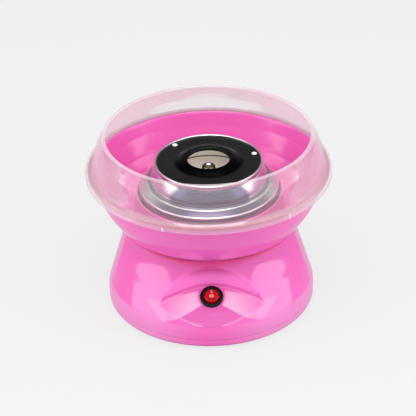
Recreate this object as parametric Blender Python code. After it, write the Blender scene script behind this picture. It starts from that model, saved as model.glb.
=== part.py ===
# Household cotton candy machine: a waisted base with a motor and a ring heater, a lift-off floss
# bowl, a clear lift-off splash guard and a spinning sugar head.
# Frame: sizes are millimetres (times MM for Blender), +Z up, the front (switch side) faces -Y,
# +X is the right-hand side, and the origin is on the spin axis at table level.
# Every *_OUTLINE table lists the (radius, height) points of a turned part, about its own Z axis.
import math

import bmesh
import bpy
from mathutils import Matrix, Vector

MM = 0.001
TAU = 2 * math.pi
ORIGIN = (0, 0, 0)
ALONG_X = (0, math.pi / 2, 0)       # turns a part's own +Z to +X
ALONG_Y = (math.pi / 2, 0, 0)       # turns a part's own +Z to -Y, the front


def radians_of(*degrees):
    return [math.radians(d) for d in degrees]


def polar(radius, angle, z=0):
    return (radius * math.cos(angle), radius * math.sin(angle), z)


# ---------------------------------------------------------------- shared dimensions
SKIRT_R = 107.2          # base skirt
DECK_Z = 96.2            # top of the deck that the bowl stands on
RIM_Z = 152.8            # top of the bowl's rim
SHAFT_R = 3.0
DRIVE_PIN_Z = 131.6      # the pin through the shaft that turns the hub

SWITCH_AT = (0.0, -77.4, 43.7)
SWITCH_TILT = math.radians(57)      # elevation of the switch's outward normal
# The switch's own +Z is its outward normal, its own +Y points up the face.
SWITCH_TURN = (math.pi / 2 - SWITCH_TILT, 0, 0)

CORD_Z = 16.0            # where the cord leaves the back

SCREW_R = 94.5           # bottom cover screws
SCREW_ANGLES = radians_of(40, 140, 220, 320)
SCREWS = [polar(SCREW_R, a) for a in SCREW_ANGLES]

POST_R = 56.5            # pan standoffs and motor plate screws alternate on this circle
POSTS = [polar(POST_R, a) for a in radians_of(30, 150, 270)]
PLATE_SCREWS = [polar(POST_R, a) for a in radians_of(90, 210, 330)]

ELEMENT_R, ELEMENT_Z = 46.0, 118.4  # heating element's ring
LEG_X = 9.0                         # its two legs stand this far either side of the middle
LEG_START = math.asin(LEG_X / ELEMENT_R)
LEG_Y = ELEMENT_R * math.cos(LEG_START)
LEGS = [(-LEG_X, LEG_Y, 0), (LEG_X, LEG_Y, 0)]
LEG_FOOT_Z = 88.0
LEG_WIRE_Z = 87.6                   # the wires stop here, just under the legs

# ---------------------------------------------------------------- materials
for old in list(bpy.data.objects):
    bpy.data.objects.remove(old, do_unlink=True)


def material(name, rgb, roughness, metallic=0.0, alpha=1.0):
    mat = bpy.data.materials.new(name)
    mat.use_nodes = True
    shader = mat.node_tree.nodes["Principled BSDF"]
    shader.inputs["Base Color"].default_value = (*rgb, 1.0)
    shader.inputs["Roughness"].default_value = roughness
    shader.inputs["Metallic"].default_value = metallic
    shader.inputs["Alpha"].default_value = alpha
    return mat


PINK = material("pink_abs", rgb=(0.86, 0.13, 0.43), roughness=0.25)
CLEAR = material("clear_pp", rgb=(0.93, 0.86, 0.90), roughness=0.3, alpha=0.35)
BLACK_COAT = material("black_coating", rgb=(0.02, 0.02, 0.02), roughness=0.35)
ALUMINIUM = material("aluminium", rgb=(0.80, 0.80, 0.78), roughness=0.3, metallic=1.0)
STEEL = material("steel", rgb=(0.62, 0.62, 0.62), roughness=0.3, metallic=1.0)
BRASS = material("brass", rgb=(0.55, 0.40, 0.16), roughness=0.35, metallic=1.0)
BLACK = material("black_plastic", rgb=(0.015, 0.015, 0.017), roughness=0.4)
RED = material("red_lens", rgb=(0.75, 0.01, 0.01), roughness=0.2)
RUBBER = material("rubber", rgb=(0.05, 0.05, 0.05), roughness=0.8)
CERAMIC = material("ceramic", rgb=(0.88, 0.86, 0.80), roughness=0.6)
MAGNET = material("magnet", rgb=(0.10, 0.10, 0.11), roughness=0.7)
COPPER = material("copper", rgb=(0.72, 0.34, 0.16), roughness=0.35, metallic=1.0)
BOARD = material("board", rgb=(0.05, 0.25, 0.10), roughness=0.5)
WIRE_RED = material("wire_red", rgb=(0.55, 0.03, 0.03), roughness=0.5)
WIRE_BLUE = material("wire_blue", rgb=(0.04, 0.10, 0.50), roughness=0.5)


# ---------------------------------------------------------------- modelling helpers
def add(name, data, mat, at=ORIGIN, turn=ORIGIN):
    obj = bpy.data.objects.new(name, data)
    bpy.context.scene.collection.objects.link(obj)
    data.materials.append(mat)
    obj.location = [c * MM for c in at]
    obj.rotation_euler = turn
    return obj


def from_bmesh(name, bm, mat, at=ORIGIN, turn=ORIGIN, sharp=32):
    """An object from bm, shaded smooth except at edges over sharp degrees."""
    bmesh.ops.recalc_face_normals(bm, faces=bm.faces)
    mesh = bpy.data.meshes.new(name)
    bm.to_mesh(mesh)
    bm.free()
    mesh.shade_smooth()
    mesh.set_sharp_from_angle(angle=math.radians(sharp))
    return add(name, mesh, mat, at, turn)


def turned(name, outline, steps, mat, at=ORIGIN, turn=ORIGIN):
    """A closed (r, z) outline spun round Z. One that starts and ends on the axis stays open there."""
    bm = bmesh.new()
    verts = [bm.verts.new((r * MM, 0, z * MM)) for r, z in outline]
    pairs = list(zip(verts, verts[1:]))
    if not (outline[0][0] == 0 and outline[-1][0] == 0):
        pairs.append((verts[-1], verts[0]))
    edges = [bm.edges.new(pair) for pair in pairs]
    bmesh.ops.spin(
        bm, geom=verts + edges, cent=ORIGIN, axis=(0, 0, 1), dvec=ORIGIN,
        angle=TAU, steps=steps, use_merge=True)
    bmesh.ops.remove_doubles(bm, verts=bm.verts, dist=1e-7)
    return from_bmesh(name, bm, mat, at, turn)


def rod(name, radius, z0, z1, steps, mat, at=ORIGIN, turn=ORIGIN):
    return turned(name, [(0, z0), (radius, z0), (radius, z1), (0, z1)], steps, mat, at, turn)


def tube(name, inner, outer, z0, z1, steps, mat, at=ORIGIN):
    return turned(name, [(inner, z0), (outer, z0), (outer, z1), (inner, z1)], steps, mat, at)


def block(name, size, centre, mat, turn=ORIGIN):
    bm = bmesh.new()
    bmesh.ops.create_cube(bm, size=1.0)
    bmesh.ops.scale(bm, vec=[s * MM for s in size], verts=bm.verts)
    return from_bmesh(name, bm, mat, centre, turn)


def radial_block(name, size, radius, angle, z, mat):
    """A block whose length points away from the axis; size is (length, width, height)."""
    return block(name, size, polar(radius, angle, z), mat, (0, 0, angle))


def boolean(obj, other, operation="DIFFERENCE"):
    modifier = obj.modifiers.new(f"{operation.lower()}_{other.name}", "BOOLEAN")
    modifier.operation = operation
    modifier.solver = "EXACT"
    modifier.object = other
    other.hide_render = True
    other.display_type = "WIRE"


def drill(obj, name, places, radius, z0, z1, mat, steps=12):
    """A numbered upright hole at each place."""
    for k, at in enumerate(places):
        boolean(obj, rod(f"{name}_{k}", radius, z0, z1, steps, mat, at))


def wire(name, points, radius, mat, roundness=1):
    """A round wire or bent tube along the points, with closed ends."""
    curve = bpy.data.curves.new(name, "CURVE")
    curve.dimensions = "3D"
    curve.bevel_depth = radius * MM
    curve.bevel_resolution = roundness
    curve.use_fill_caps = True
    spline = curve.splines.new("POLY")
    spline.points.add(len(points) - 1)
    for knot, (x, y, z) in zip(spline.points, points):
        knot.co = (x * MM, y * MM, z * MM, 1)
    return add(name, curve, mat)


def rounded_path(corners, radius, steps=4):
    """Straight runs between corners, with each corner turned into an arc-like bend."""
    corners = [Vector(corner) for corner in corners]
    points = [corners[0]]
    for before, corner, after in zip(corners, corners[1:], corners[2:]):
        reach = min(radius, (before - corner).length * 0.45, (after - corner).length * 0.45)
        start = corner + (before - corner).normalized() * reach
        end = corner + (after - corner).normalized() * reach
        for i in range(steps + 1):
            t = i / steps
            points.append(start * (1 - t) ** 2 + corner * 2 * t * (1 - t) + end * t * t)
    points.append(corners[-1])
    return points


# ---------------------------------------------------------------- base shell
SHELL_FOOT = 11.3        # lower edge of the shell
SKIRT_TOP = 26.0         # the scooped front starts above this
CONE_SLOPE = 0.30        # the sides and back lean in this much per mm of height
DECK_EDGE_Z = 95.2       # the chamfer round the deck starts here
DECK_CHAMFER = 0.9
DECK_UNDERSIDE = 93.6
DECK_HOLE_R = 52.0
TOWER_R = 68.5           # neck of the base inside the bowl's collar
TOWER_TOP = 125.6
TOWER_CHAMFER = 0.8
SHELL_WALL = 2.4         # wall thickness, sideways
INNER_DROP = 1.6         # the inside is also lowered, so that sloping parts keep their thickness

# (height, radius) of the skirt
SKIRT = [(SHELL_FOOT, SKIRT_R), (15.0, SKIRT_R), (20.5, 106.6), (SKIRT_TOP, 105.0)]
# (height, distance ahead of the axis) of the scooped front, or apron, at its middle
APRON = [
    (26.0, 105.1), (31.0, 101.6), (36.0, 98.0), (41.6, 93.9), (48.0, 89.1), (55.0, 84.2),
    (61.6, 79.2), (67.6, 75.0), (72.2, 72.7), (77.0, 72.6), (84.0, 74.5), (96.2, 79.0),
]
# (height, distance ahead of the axis) of the recess's upper wall at its middle
WALL = [
    (20.0, 66.5), (44.0, 65.8), (51.0, 65.9), (55.0, 66.1), (61.6, 66.6), (67.6, 68.2),
    (72.2, 70.4), (77.0, 72.6), (82.0, 76.0), (88.0, 82.0), (96.2, 92.0),
]
# heights of the rings of points, up the outside and down the inside
OUTER_Z = [
    SHELL_FOOT, 19.0, 26.0, 28.5, 31.5, 35.0, 38.5, 42.0, 46.0, 50.0, 51.6, 55.0, 60.0, 65.0,
    70.5, 76.5, 82.0, DECK_EDGE_Z,
]
INNER_Z = [DECK_UNDERSIDE, 81.0, 72.0, 60.0, 51.0, 47.5, 39.0, 32.0, 24.4, SHELL_FOOT]

CREASE_Y = 19.0          # the apron meets the cone in this plane, ahead of the axis
FLAT_FROM = 46.0         # in plan the apron is an arc, flattened from this x out to the crease
FLAT_DEPTH = 18.0
FLAT_FULL_DEPTH = 9.0    # the flattening fades out where the scoop is shallower than this
WALL_BEND = 180.0        # the recess's upper wall stands ahead of its middle by x * x / this

FLOOR_TILT = math.radians(57)       # elevation of the recess floor's normal
FLOOR_SET_BACK = 0.12               # the floor lies behind the switch's centre by this
FACET_DOWN = 3.0                    # the side facets start this far down the floor's middle line
FACET_TURN = math.radians(32)       # on lines this far below level
FACET_FALL = math.radians(5.5)      # and fall away from the floor by this much

# Columns of points round the wall, as angles from the front: close across the front, wide behind.
FRONT_COLUMNS, BACK_COLUMNS = 32, 12
COLUMNS = [math.radians(-84 + 168 * i / FRONT_COLUMNS) for i in range(FRONT_COLUMNS + 1)]
COLUMNS += [math.radians(84 + 192 * i / BACK_COLUMNS) for i in range(1, BACK_COLUMNS)]


def smooth(x, points):
    """Smooth curve through (x, y) points: a cubic Hermite with central slopes."""
    count = len(points)
    x = min(max(x, points[0][0]), points[-1][0])
    i = max(k for k in range(count - 1) if points[k][0] <= x + 1e-12)

    def slope(k):
        before, after = points[max(k - 1, 0)], points[min(k + 1, count - 1)]
        return (after[1] - before[1]) / (after[0] - before[0])

    (x0, y0), (x1, y1) = points[i], points[i + 1]
    step = x1 - x0
    t = (x - x0) / step
    return (
        (2 * t**3 - 3 * t**2 + 1) * y0
        + (t**3 - 2 * t**2 + t) * step * slope(i)
        + (-2 * t**3 + 3 * t**2) * y1
        + (t**3 - t**2) * step * slope(i + 1)
    )


# The radii below are taken at height z in the plan direction (side, -front): the sine and minus
# the cosine of a column's angle.
def cone_radius(z):
    """Outer radius of the base at the sides and the back."""
    if z <= SKIRT_TOP:
        return smooth(z, SKIRT)
    return SKIRT[-1][1] - CONE_SLOPE * (z - SKIRT_TOP)


def apron_radius(side, front, z, cone):
    """Radius of the scooped front, inside a cone of the given radius."""
    middle = smooth(z, APRON)
    depth = cone - middle
    if depth <= 0:
        return cone + 1.0
    # The arc runs through the middle and both crease points; its centre is set back from the axis.
    crease_x_squared = cone * cone - CREASE_Y**2
    set_back = (crease_x_squared + CREASE_Y**2 - middle * middle) / (2 * middle - 2 * CREASE_Y)
    arc = middle + set_back
    flat_width = math.sqrt(crease_x_squared) - FLAT_FROM
    flat = FLAT_DEPTH * min(1.0, depth / FLAT_FULL_DEPTH)
    radius = -set_back * front + math.sqrt(max(arc * arc - (set_back * side) ** 2, 0))
    # Newton steps from the plain arc to the flattened one
    for _ in range(6):
        x = abs(radius * side)
        t = min(max((x - FLAT_FROM) / flat_width, 0.0), 1.0)
        root = math.sqrt(max(arc * arc - x * x, 1.0))
        bend = flat * (2 * t - 3 * t * t) / flat_width if 0 < t < 1 else 0.0
        error = radius * front - (root - set_back - flat * t * t * (1 - t))
        radius -= error / (front + abs(side) * (x / root + bend))
    return radius


def floor_radius(side, front, z):
    """Radius of the recess's floor: a flat middle and a facet falling away on each side."""
    cos_tilt, sin_tilt = math.cos(FLOOR_TILT), math.sin(FLOOR_TILT)
    cos_turn, sin_turn = math.cos(FACET_TURN), math.sin(FACET_TURN)
    cos_fall, sin_fall = math.cos(FACET_FALL), math.sin(FACET_FALL)
    floor_y, floor_z = SWITCH_AT[1] + FLOOR_SET_BACK, SWITCH_AT[2]
    middle = (-floor_y * cos_tilt + floor_z * sin_tilt - sin_tilt * z) / (cos_tilt * front)
    # the facet's plane, by its normal and a point on the middle line
    normal_x = -sin_fall * sin_turn
    normal_y = -cos_fall * cos_tilt + sin_fall * cos_turn * sin_tilt
    normal_z = cos_fall * sin_tilt + sin_fall * cos_turn * cos_tilt
    facet_y = floor_y - FACET_DOWN * sin_tilt
    facet_z = floor_z - FACET_DOWN * cos_tilt
    facet = (normal_y * facet_y + normal_z * facet_z - normal_z * z) / (
        normal_x * -abs(side) - normal_y * front)
    return min(middle, facet)


def base_radius(side, front, z):
    """Radius of the outside: the cone, the apron cut into its front and the recess cut into the
    apron, which has a bent upright wall over a sloping floor."""
    cone = cone_radius(z)
    if z <= SKIRT_TOP or front < 0.02:
        return cone
    radius = min(cone, apron_radius(side, front, z, cone))
    # the wall is where radius * front = middle + bend * radius ** 2
    bend = side * side / WALL_BEND
    middle = smooth(z, WALL)
    root = front * front - 4 * bend * middle
    if root < 0:
        return radius
    wall = middle / front if bend < 1e-9 else (front - math.sqrt(root)) / (2 * bend)
    return min(radius, max(wall, floor_radius(side, front, z)))


def base_ring(section_z, z, inset=0.0):
    """The outside's section at section_z, moved in by inset and drawn at height z."""
    ring = []
    for angle in COLUMNS:
        side, front = math.sin(angle), math.cos(angle)
        radius = base_radius(side, front, section_z) - inset
        ring.append((radius * side, -radius * front, z))
    return ring


def round_ring(radius, z, like):
    """A circle of points in the same directions as those of another ring."""
    return [(radius * x / math.hypot(x, y), radius * y / math.hypot(x, y), z) for x, y, _ in like]


def shell_body():
    deck_edge = base_ring(DECK_EDGE_Z, DECK_Z, DECK_CHAMFER)
    tower_inside = TOWER_R - SHELL_WALL
    # (radius, height) of the round rings: up the tower, down its inside, in to the deck's hole
    round_part = [
        (TOWER_R, DECK_Z), (TOWER_R, TOWER_TOP - TOWER_CHAMFER),
        (TOWER_R - TOWER_CHAMFER, TOWER_TOP), (tower_inside, TOWER_TOP),
        (tower_inside, DECK_Z), (DECK_HOLE_R, DECK_Z), (DECK_HOLE_R, DECK_UNDERSIDE),
    ]
    rings = [base_ring(z, z) for z in OUTER_Z]
    rings.append(deck_edge)
    rings += [round_ring(radius, z, deck_edge) for radius, z in round_part]
    rings += [base_ring(z + INNER_DROP, z, SHELL_WALL) for z in INNER_Z]

    bm = bmesh.new()
    made = [[bm.verts.new((x * MM, y * MM, z * MM)) for x, y, z in ring] for ring in rings]
    count = len(COLUMNS)
    for low, high in zip(made, made[1:] + made[:1]):
        for i in range(count):
            j = (i + 1) % count
            bm.faces.new((low[i], low[j], high[j], high[i]))
    return from_bmesh("base_shell", bm, PINK, sharp=24)


def build_base_shell():
    shell = shell_body()
    # switch seat: a flat round spot on the recess's floor, with the switch's hole through it
    for name, radius, z0, z1, operation in (
        ("cut_switch_pad", 13.6, -3.4, 0.0, "UNION"),
        ("cut_switch_face", 13.4, 0.0, 9.0, "DIFFERENCE"),
        ("cut_switch_hole", 10.1, -9.0, 6.0, "DIFFERENCE"),
    ):
        boolean(shell, rod(name, radius, z0, z1, 32, PINK, SWITCH_AT, SWITCH_TURN), operation)
    # four blocks inside the skirt take the cover's screws
    for k, angle in enumerate(SCREW_ANGLES):
        lug = radial_block(f"cut_lug_{k}", (16.0, 9.0, 9.1), 97.5, angle, 15.95, PINK)
        boolean(shell, lug, "UNION")
    drill(shell, "cut_pilot", SCREWS, 1.7, 8.0, 18.6, PINK)
    # cord hole at the back
    boolean(shell, rod("cut_cord_hole", 5.4, -8.0, 8.0, 20, PINK, (0, 103.0, CORD_Z), ALONG_Y))
    # deck holes: three for the pan's posts, three for the motor plate
    drill(shell, "cut_deck", POSTS + PLATE_SCREWS, 2.2, 90.0, 99.0, PINK)


# ---------------------------------------------------------------- bottom cover, feet and screws
COVER_UNDERSIDE, COVER_TOP = 2.6, 5.0
VENTS = 10
FEET = {
    name: polar(80.0, math.radians(degrees))
    for name, degrees in (
        ("foot_back_right", 45), ("foot_back_left", 135),
        ("foot_front_left", 225), ("foot_front_right", 315),
    )
}
COVER_OUTLINE = [
    (0, COVER_UNDERSIDE), (104.2, COVER_UNDERSIDE), (106.3, 3.6), (SKIRT_R, 5.8), (SKIRT_R, 11.0),
    (104.7, 11.0), (104.7, 6.0), (103.7, COVER_TOP), (0, COVER_TOP),
]
# a suction foot: it is pushed through the cover and held by a shoulder
FOOT_OUTLINE = [
    (0, 1.1), (9.8, 0.35), (10.2, 0.0), (13.2, 0.0), (13.2, 0.6), (7.0, 2.2), (3.0, 2.2),
    (3.0, 5.4), (4.4, 5.6), (4.4, 6.4), (2.6, 8.4), (0, 8.4),
]
COVER_SCREW_OUTLINE = [
    (0, 1.3), (1.0, 1.3), (1.0, 0.7), (2.9, 0.8), (3.2, 1.5), (3.2, 2.2), (1.4, 2.2),
    (1.4, 17.0), (0, 18.2),
]


def build_bottom():
    cover = turned("bottom_cover", COVER_OUTLINE, 36, PINK)
    for k in range(VENTS):
        angle = TAU * (k + 0.5) / VENTS
        boolean(cover, radial_block(f"cut_vent_{k}", (24.0, 4.0, 8.0), 40, angle, 4.0, PINK))
    drill(cover, "cut_foot", FEET.values(), 3.4, 0.0, 8.0, PINK, steps=16)
    drill(cover, "cut_screw", SCREWS, 1.9, 0.0, 8.0, PINK)
    for name, at in FEET.items():
        turned(name, FOOT_OUTLINE, 12, RUBBER, at)
    for k, at in enumerate(SCREWS):
        turned(f"cover_screw_{k + 1}", COVER_SCREW_OUTLINE, 8, STEEL, at)


# ---------------------------------------------------------------- floss bowl
BOWL_OUTLINE = [
    (73.8, 96.6), (90.2, 96.6), (93.8, 97.6), (96.4, 100.6), (99.0, 104.6), (103.2, 110.8),
    (107.8, 118.6), (112.0, 128.2), (116.1, 138.4), (119.7, 147.4), (122.6, 148.6),
    (122.7, 151.4), (121.8, RIM_Z), (118.9, RIM_Z), (117.7, 151.4), (113.7, 138.8),
    (109.6, 128.8), (105.4, 119.4), (101.0, 112.0), (97.0, 106.2), (93.6, 102.0), (90.0, 99.6),
    (80.4, 99.2), (77.4, 101.0), (76.2, 104.4), (75.2, 124.8), (74.2, 126.2), (72.9, 125.6),
    (72.6, 98.0),
]


def build_bowl():
    turned("floss_bowl", BOWL_OUTLINE, 36, PINK)


# ---------------------------------------------------------------- splash guard
GUARD_R = 125.0          # outside of the guard's skirt: the widest turned part
GUARD_TOP = 190.4
GUARD_OUTLINE = [
    (GUARD_R, 146.4), (GUARD_R, 152.0), (124.3, 153.8), (122.6, 154.7), (118.9, 154.8),
    (118.1, 156.4), (117.4, 161.0), (116.0, 168.2), (113.1, 176.6), (109.6, 183.4),
    (107.0, 187.2), (106.5, 189.3), (104.7, GUARD_TOP), (103.0, 189.3), (103.0, 187.4),
    (104.8, 186.2), (107.9, 182.4), (111.5, 175.8), (114.4, 167.8), (115.8, 160.8),
    (116.5, 156.2), (117.2, 153.2), (122.6, 153.2), (123.4, 151.8), (123.5, 146.4),
]


def build_guard():
    """The guard, with six notches in the lower edge of its skirt."""
    guard = turned("splash_guard", GUARD_OUTLINE, 36, CLEAR)
    for k in range(6):
        angle = math.radians(270 - 21.5 + 60 * k)
        notch = radial_block(f"cut_notch_{k}", (6.0, 1.3, 4.6), 124.4, angle, 147.9, CLEAR)
        boolean(guard, notch)


# ---------------------------------------------------------------- heater
PAN_R = 70.9
PAN_OUTLINE = [
    (13.0, 110.0), (60.7, 110.0), (61.9, 111.2), (61.9, 134.2), (63.3, 135.5), (69.7, 130.5),
    (69.7, 127.0), (PAN_R, 127.0), (PAN_R, 131.3), (63.6, 137.0), (62.2, 136.9), (60.6, 135.2),
    (60.6, 112.2), (59.8, 111.2), (13.0, 111.2),
]
STANDOFF_OUTLINE = [
    (0, 88.5), (1.7, 89.0), (1.7, 97.8), (4.2, 97.8), (4.2, 109.7), (1.7, 109.7), (1.7, 111.5),
    (2.8, 111.5), (2.6, 112.8), (1.2, 113.4), (0, 113.4),
]
THERMOSTAT_OUTLINE = [(0, 101.4), (5.0, 101.4), (5.0, 104.2), (8.2, 104.2), (8.2, 109.6), (0, 109.6)]
PAN_LEG_HOLES = [(x, ELEMENT_R - 0.9, 0) for x in (-LEG_X, LEG_X)]


def element_path():
    """Up the left leg, round the ring by the front and down the right leg."""
    # (x outward from the leg, height), from the leg's foot to the ring
    leg = [(0.0, LEG_FOOT_Z), (0.0, 104.0), (0.0, 114.6), (0.9, 117.2)]
    up = [(-LEG_X - out, LEG_Y, z) for out, z in leg]
    down = [(LEG_X + out, LEG_Y, z) for out, z in reversed(leg)]
    ring = []
    for i in range(1, 28):
        angle = math.pi / 2 + LEG_START + (TAU - 2 * LEG_START) * i / 28
        ring.append(polar(ELEMENT_R, angle, ELEMENT_Z))
    return up + ring + down


def build_heater():
    pan = turned("heater_pan", PAN_OUTLINE, 24, ALUMINIUM)
    drill(pan, "cut_leg", PAN_LEG_HOLES, 6.3, 108.0, 113.0, ALUMINIUM, steps=16)
    drill(pan, "cut_pan", POSTS, 2.2, 108.0, 113.0, ALUMINIUM)
    wire("heating_element", element_path(), 3.0, STEEL, roundness=2)
    for k, at in enumerate(LEGS):
        tube(f"ceramic_bush_{k + 1}", 3.5, 5.9, 105.6, 112.4, 16, CERAMIC, at)
    shield = tube("heat_shield", 8.0, 65.4, 96.5, 97.5, 24, STEEL)
    drill(shield, "cut_shield", LEGS, 4.6, 95.0, 99.0, STEEL, steps=16)
    drill(shield, "cut_shield_post", POSTS, 2.2, 95.0, 99.0, STEEL)
    for k, at in enumerate(POSTS):
        turned(f"pan_standoff_{k + 1}", STANDOFF_OUTLINE, 8, STEEL, at)
    turned("thermostat", THERMOSTAT_OUTLINE, 14, BLACK, (-32, -14, 0))


# ---------------------------------------------------------------- motor
BEARING_BORE, BEARING_R = SHAFT_R + 0.1, 4.3
BEARING_SEAT_R = 4.6     # bore of the can's neck and of the end cap
PLATE_SCREW_OUTLINE = [
    (0, 83.6), (1.6, 83.6), (3.3, 84.4), (3.3, 86.1), (1.7, 86.1), (1.7, 95.6), (0, 95.9),
]
CAN_OUTLINE = [
    (BEARING_SEAT_R, 81.0), (16.9, 81.0), (16.9, 36.0), (18.0, 36.0), (18.0, 84.4), (16.4, 86.0),
    (6.2, 86.0), (6.2, 89.6), (BEARING_SEAT_R, 89.6),
]
END_CAP_OUTLINE = [
    (BEARING_SEAT_R, 32.0), (14.0, 32.0), (17.6, 34.0), (17.6, 35.7), (16.5, 35.7), (16.5, 38.0),
    (BEARING_SEAT_R, 38.0),
]
SHAFT_OUTLINE = [
    (0, 30.6), (2.6, 30.6), (SHAFT_R, 31.0), (SHAFT_R, 152.8), (2.6, 154.4), (1.5, 155.4),
    (0, 155.8),
]
ARMATURE_OUTLINE = [
    (3.3, 39.0), (5.6, 39.0), (5.6, 46.0), (11.8, 46.0), (12.4, 46.8), (12.4, 74.2),
    (11.8, 75.0), (3.3, 75.0),
]


def build_motor_mount():
    """The motor's plate, hung under the deck on rubber dampers."""
    plate = tube("motor_plate", 7.0, 63.0, 86.4, 88.0, 24, STEEL)
    drill(plate, "cut_plate", PLATE_SCREWS, 2.1, 85.0, 90.0, STEEL)
    for k, at in enumerate(PLATE_SCREWS):
        tube(f"motor_damper_{k + 1}", 2.2, 5.6, 88.3, 93.3, 12, RUBBER, at)
        turned(f"plate_screw_{k + 1}", PLATE_SCREW_OUTLINE, 8, STEEL, at)
    # clearance for the lower ends of the standoffs and for the element's legs
    drill(plate, "cut_plate_pan", POSTS, 4.0, 85.0, 90.0, STEEL)
    boolean(plate, block("cut_plate_legs", (30.0, 13.0, 6.0), (0, LEG_Y - 1.5, 87.2), STEEL))


def build_motor():
    turned("motor_can", CAN_OUTLINE, 20, STEEL)
    tube("bearing_upper", BEARING_BORE, BEARING_R, 82.0, 89.2, 12, BRASS)
    turned("motor_end_cap", END_CAP_OUTLINE, 20, BLACK)
    tube("bearing_lower", BEARING_BORE, BEARING_R, 32.4, 37.8, 12, BRASS)
    tube("motor_magnet", 13.2, 16.6, 45.0, 76.0, 20, MAGNET)


def build_shaft():
    shaft = turned("motor_shaft", SHAFT_OUTLINE, 16, STEEL)
    pin_at = (0, 0, DRIVE_PIN_Z)
    boolean(shaft, rod("cut_drive_pin", 1.5, -6.0, 6.0, 12, STEEL, pin_at, ALONG_X))
    rod("drive_pin", 1.2, -7.2, 7.2, 12, STEEL, pin_at, ALONG_X)
    turned("motor_armature", ARMATURE_OUTLINE, 16, COPPER)


# ---------------------------------------------------------------- sugar head
HEAD_R = 54.8            # rim ring
CUP_R = 59.2
RIVETS = [polar(48.3, a) for a in radians_of(15, 135, 255)]
TOP_PLATE_OUTLINE = [
    (52.4, 156.0), (52.4, 157.3), (36.5, 157.3), (33.0, 158.0), (28.4, 160.3), (25.2, 161.4),
    (22.8, 161.2), (21.3, 159.9), (21.0, 157.6), (22.3, 157.6), (22.6, 159.3), (23.6, 159.9),
    (25.0, 159.9), (27.6, 159.0), (32.4, 156.7), (36.2, 156.0),
]
RIM_RING_OUTLINE = [
    (52.9, 155.7), (52.9, 158.3), (53.9, 158.8), (HEAD_R, 157.9), (HEAD_R, 154.6),
    (51.7, 154.6), (51.7, 155.7),
]
CUP_OUTLINE = [
    (58.0, 134.4), (CUP_R, 134.4), (CUP_R + 0.4, 135.2), (CUP_R, 136.2), (CUP_R, 141.6),
    (58.9, 143.0), (54.9, 152.0), (54.2, 153.2), (52.6, 153.2), (53.4, 151.8), (57.7, 142.6),
    (58.0, 141.4),
]
HEAD_FLOOR_OUTLINE = [(8.3, 139.0), (57.7, 139.0), (57.7, 140.6), (56.4, 140.2), (8.3, 140.2)]
HUB_OUTLINE = [
    (3.2, 129.4), (8.0, 129.4), (8.0, 137.2), (12.0, 137.2), (12.0, 138.7), (8.0, 138.7),
    (8.0, 144.8), (7.0, 145.0), (7.0, 151.2), (6.0, 152.4), (3.2, 152.4),
]
NUT_OUTLINE = [(0, 140.6), (12.6, 140.6), (12.6, 143.4), (11.4, 144.4), (0, 144.4)]
RIVET_OUTLINE = [
    (0, 137.6), (2.2, 137.7), (2.2, 138.7), (1.4, 138.7), (1.4, 140.5), (2.4, 140.5),
    (2.4, 155.7), (1.4, 155.7), (1.4, 157.6), (2.6, 157.6), (2.2, 158.6), (0, 159.0),
]


def build_head():
    top_plate = turned("head_top_plate", TOP_PLATE_OUTLINE, 24, BLACK_COAT)
    turned("head_rim_ring", RIM_RING_OUTLINE, 24, ALUMINIUM)
    turned("head_cup", CUP_OUTLINE, 24, ALUMINIUM)
    head_floor = turned("head_floor", HEAD_FLOOR_OUTLINE, 24, ALUMINIUM)
    drill(top_plate, "cut_plate_rivet", RIVETS, 1.7, 154.0, 160.0, STEEL)
    drill(head_floor, "cut_floor_rivet", RIVETS, 1.7, 137.0, 142.0, STEEL)
    for k, at in enumerate(RIVETS):
        turned(f"head_rivet_{k + 1}", RIVET_OUTLINE, 10, STEEL, at)


def build_hub():
    """The hub, slotted below for the drive pin and three times across its top, and its hex nut."""
    hub = turned("head_hub", HUB_OUTLINE, 16, BRASS)
    boolean(hub, block("cut_hub_slot", (20.0, 3.2, 5.0), (0, 0, 131.0), BRASS))
    for k in range(3):
        angle = TAU * (k + 0.5) / 6
        boolean(hub, radial_block(f"cut_hub_crown_{k}", (20.0, 2.2, 5.0), 0, angle, 150.4, BRASS))
    nut = turned("hub_nut", NUT_OUTLINE, 6, BRASS)
    boolean(nut, rod("cut_nut_bore", 8.3, 139.0, 146.0, 16, BRASS))


# ---------------------------------------------------------------- rocker switch
TERMINAL_X = 5.5
ROCKER_REST = math.radians(-9.0)     # at rest the upper half is pressed in
HOUSING_OUTLINE = [
    (0, -13.0), (9.8, -13.0), (9.8, 0.35), (11.6, 0.35), (11.9, 0.8), (11.7, 1.6), (11.0, 2.3),
    (9.0, 2.4), (8.0, 1.9), (7.9, 0.8), (7.9, -8.0), (0, -8.0),
]
ROCKER_SIDES = 20
ROCKER_LEVELS = [(5.6, -4.6), (6.9, -2.4), (7.2, 0.0), (7.15, 1.2)]     # (radius, height)
ROCKER_RIM_R = 6.85
ROCKER_MIDDLE_Z, ROCKER_RISE = 2.1, 0.20     # face height at the middle, and rise per mm from it


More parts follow.
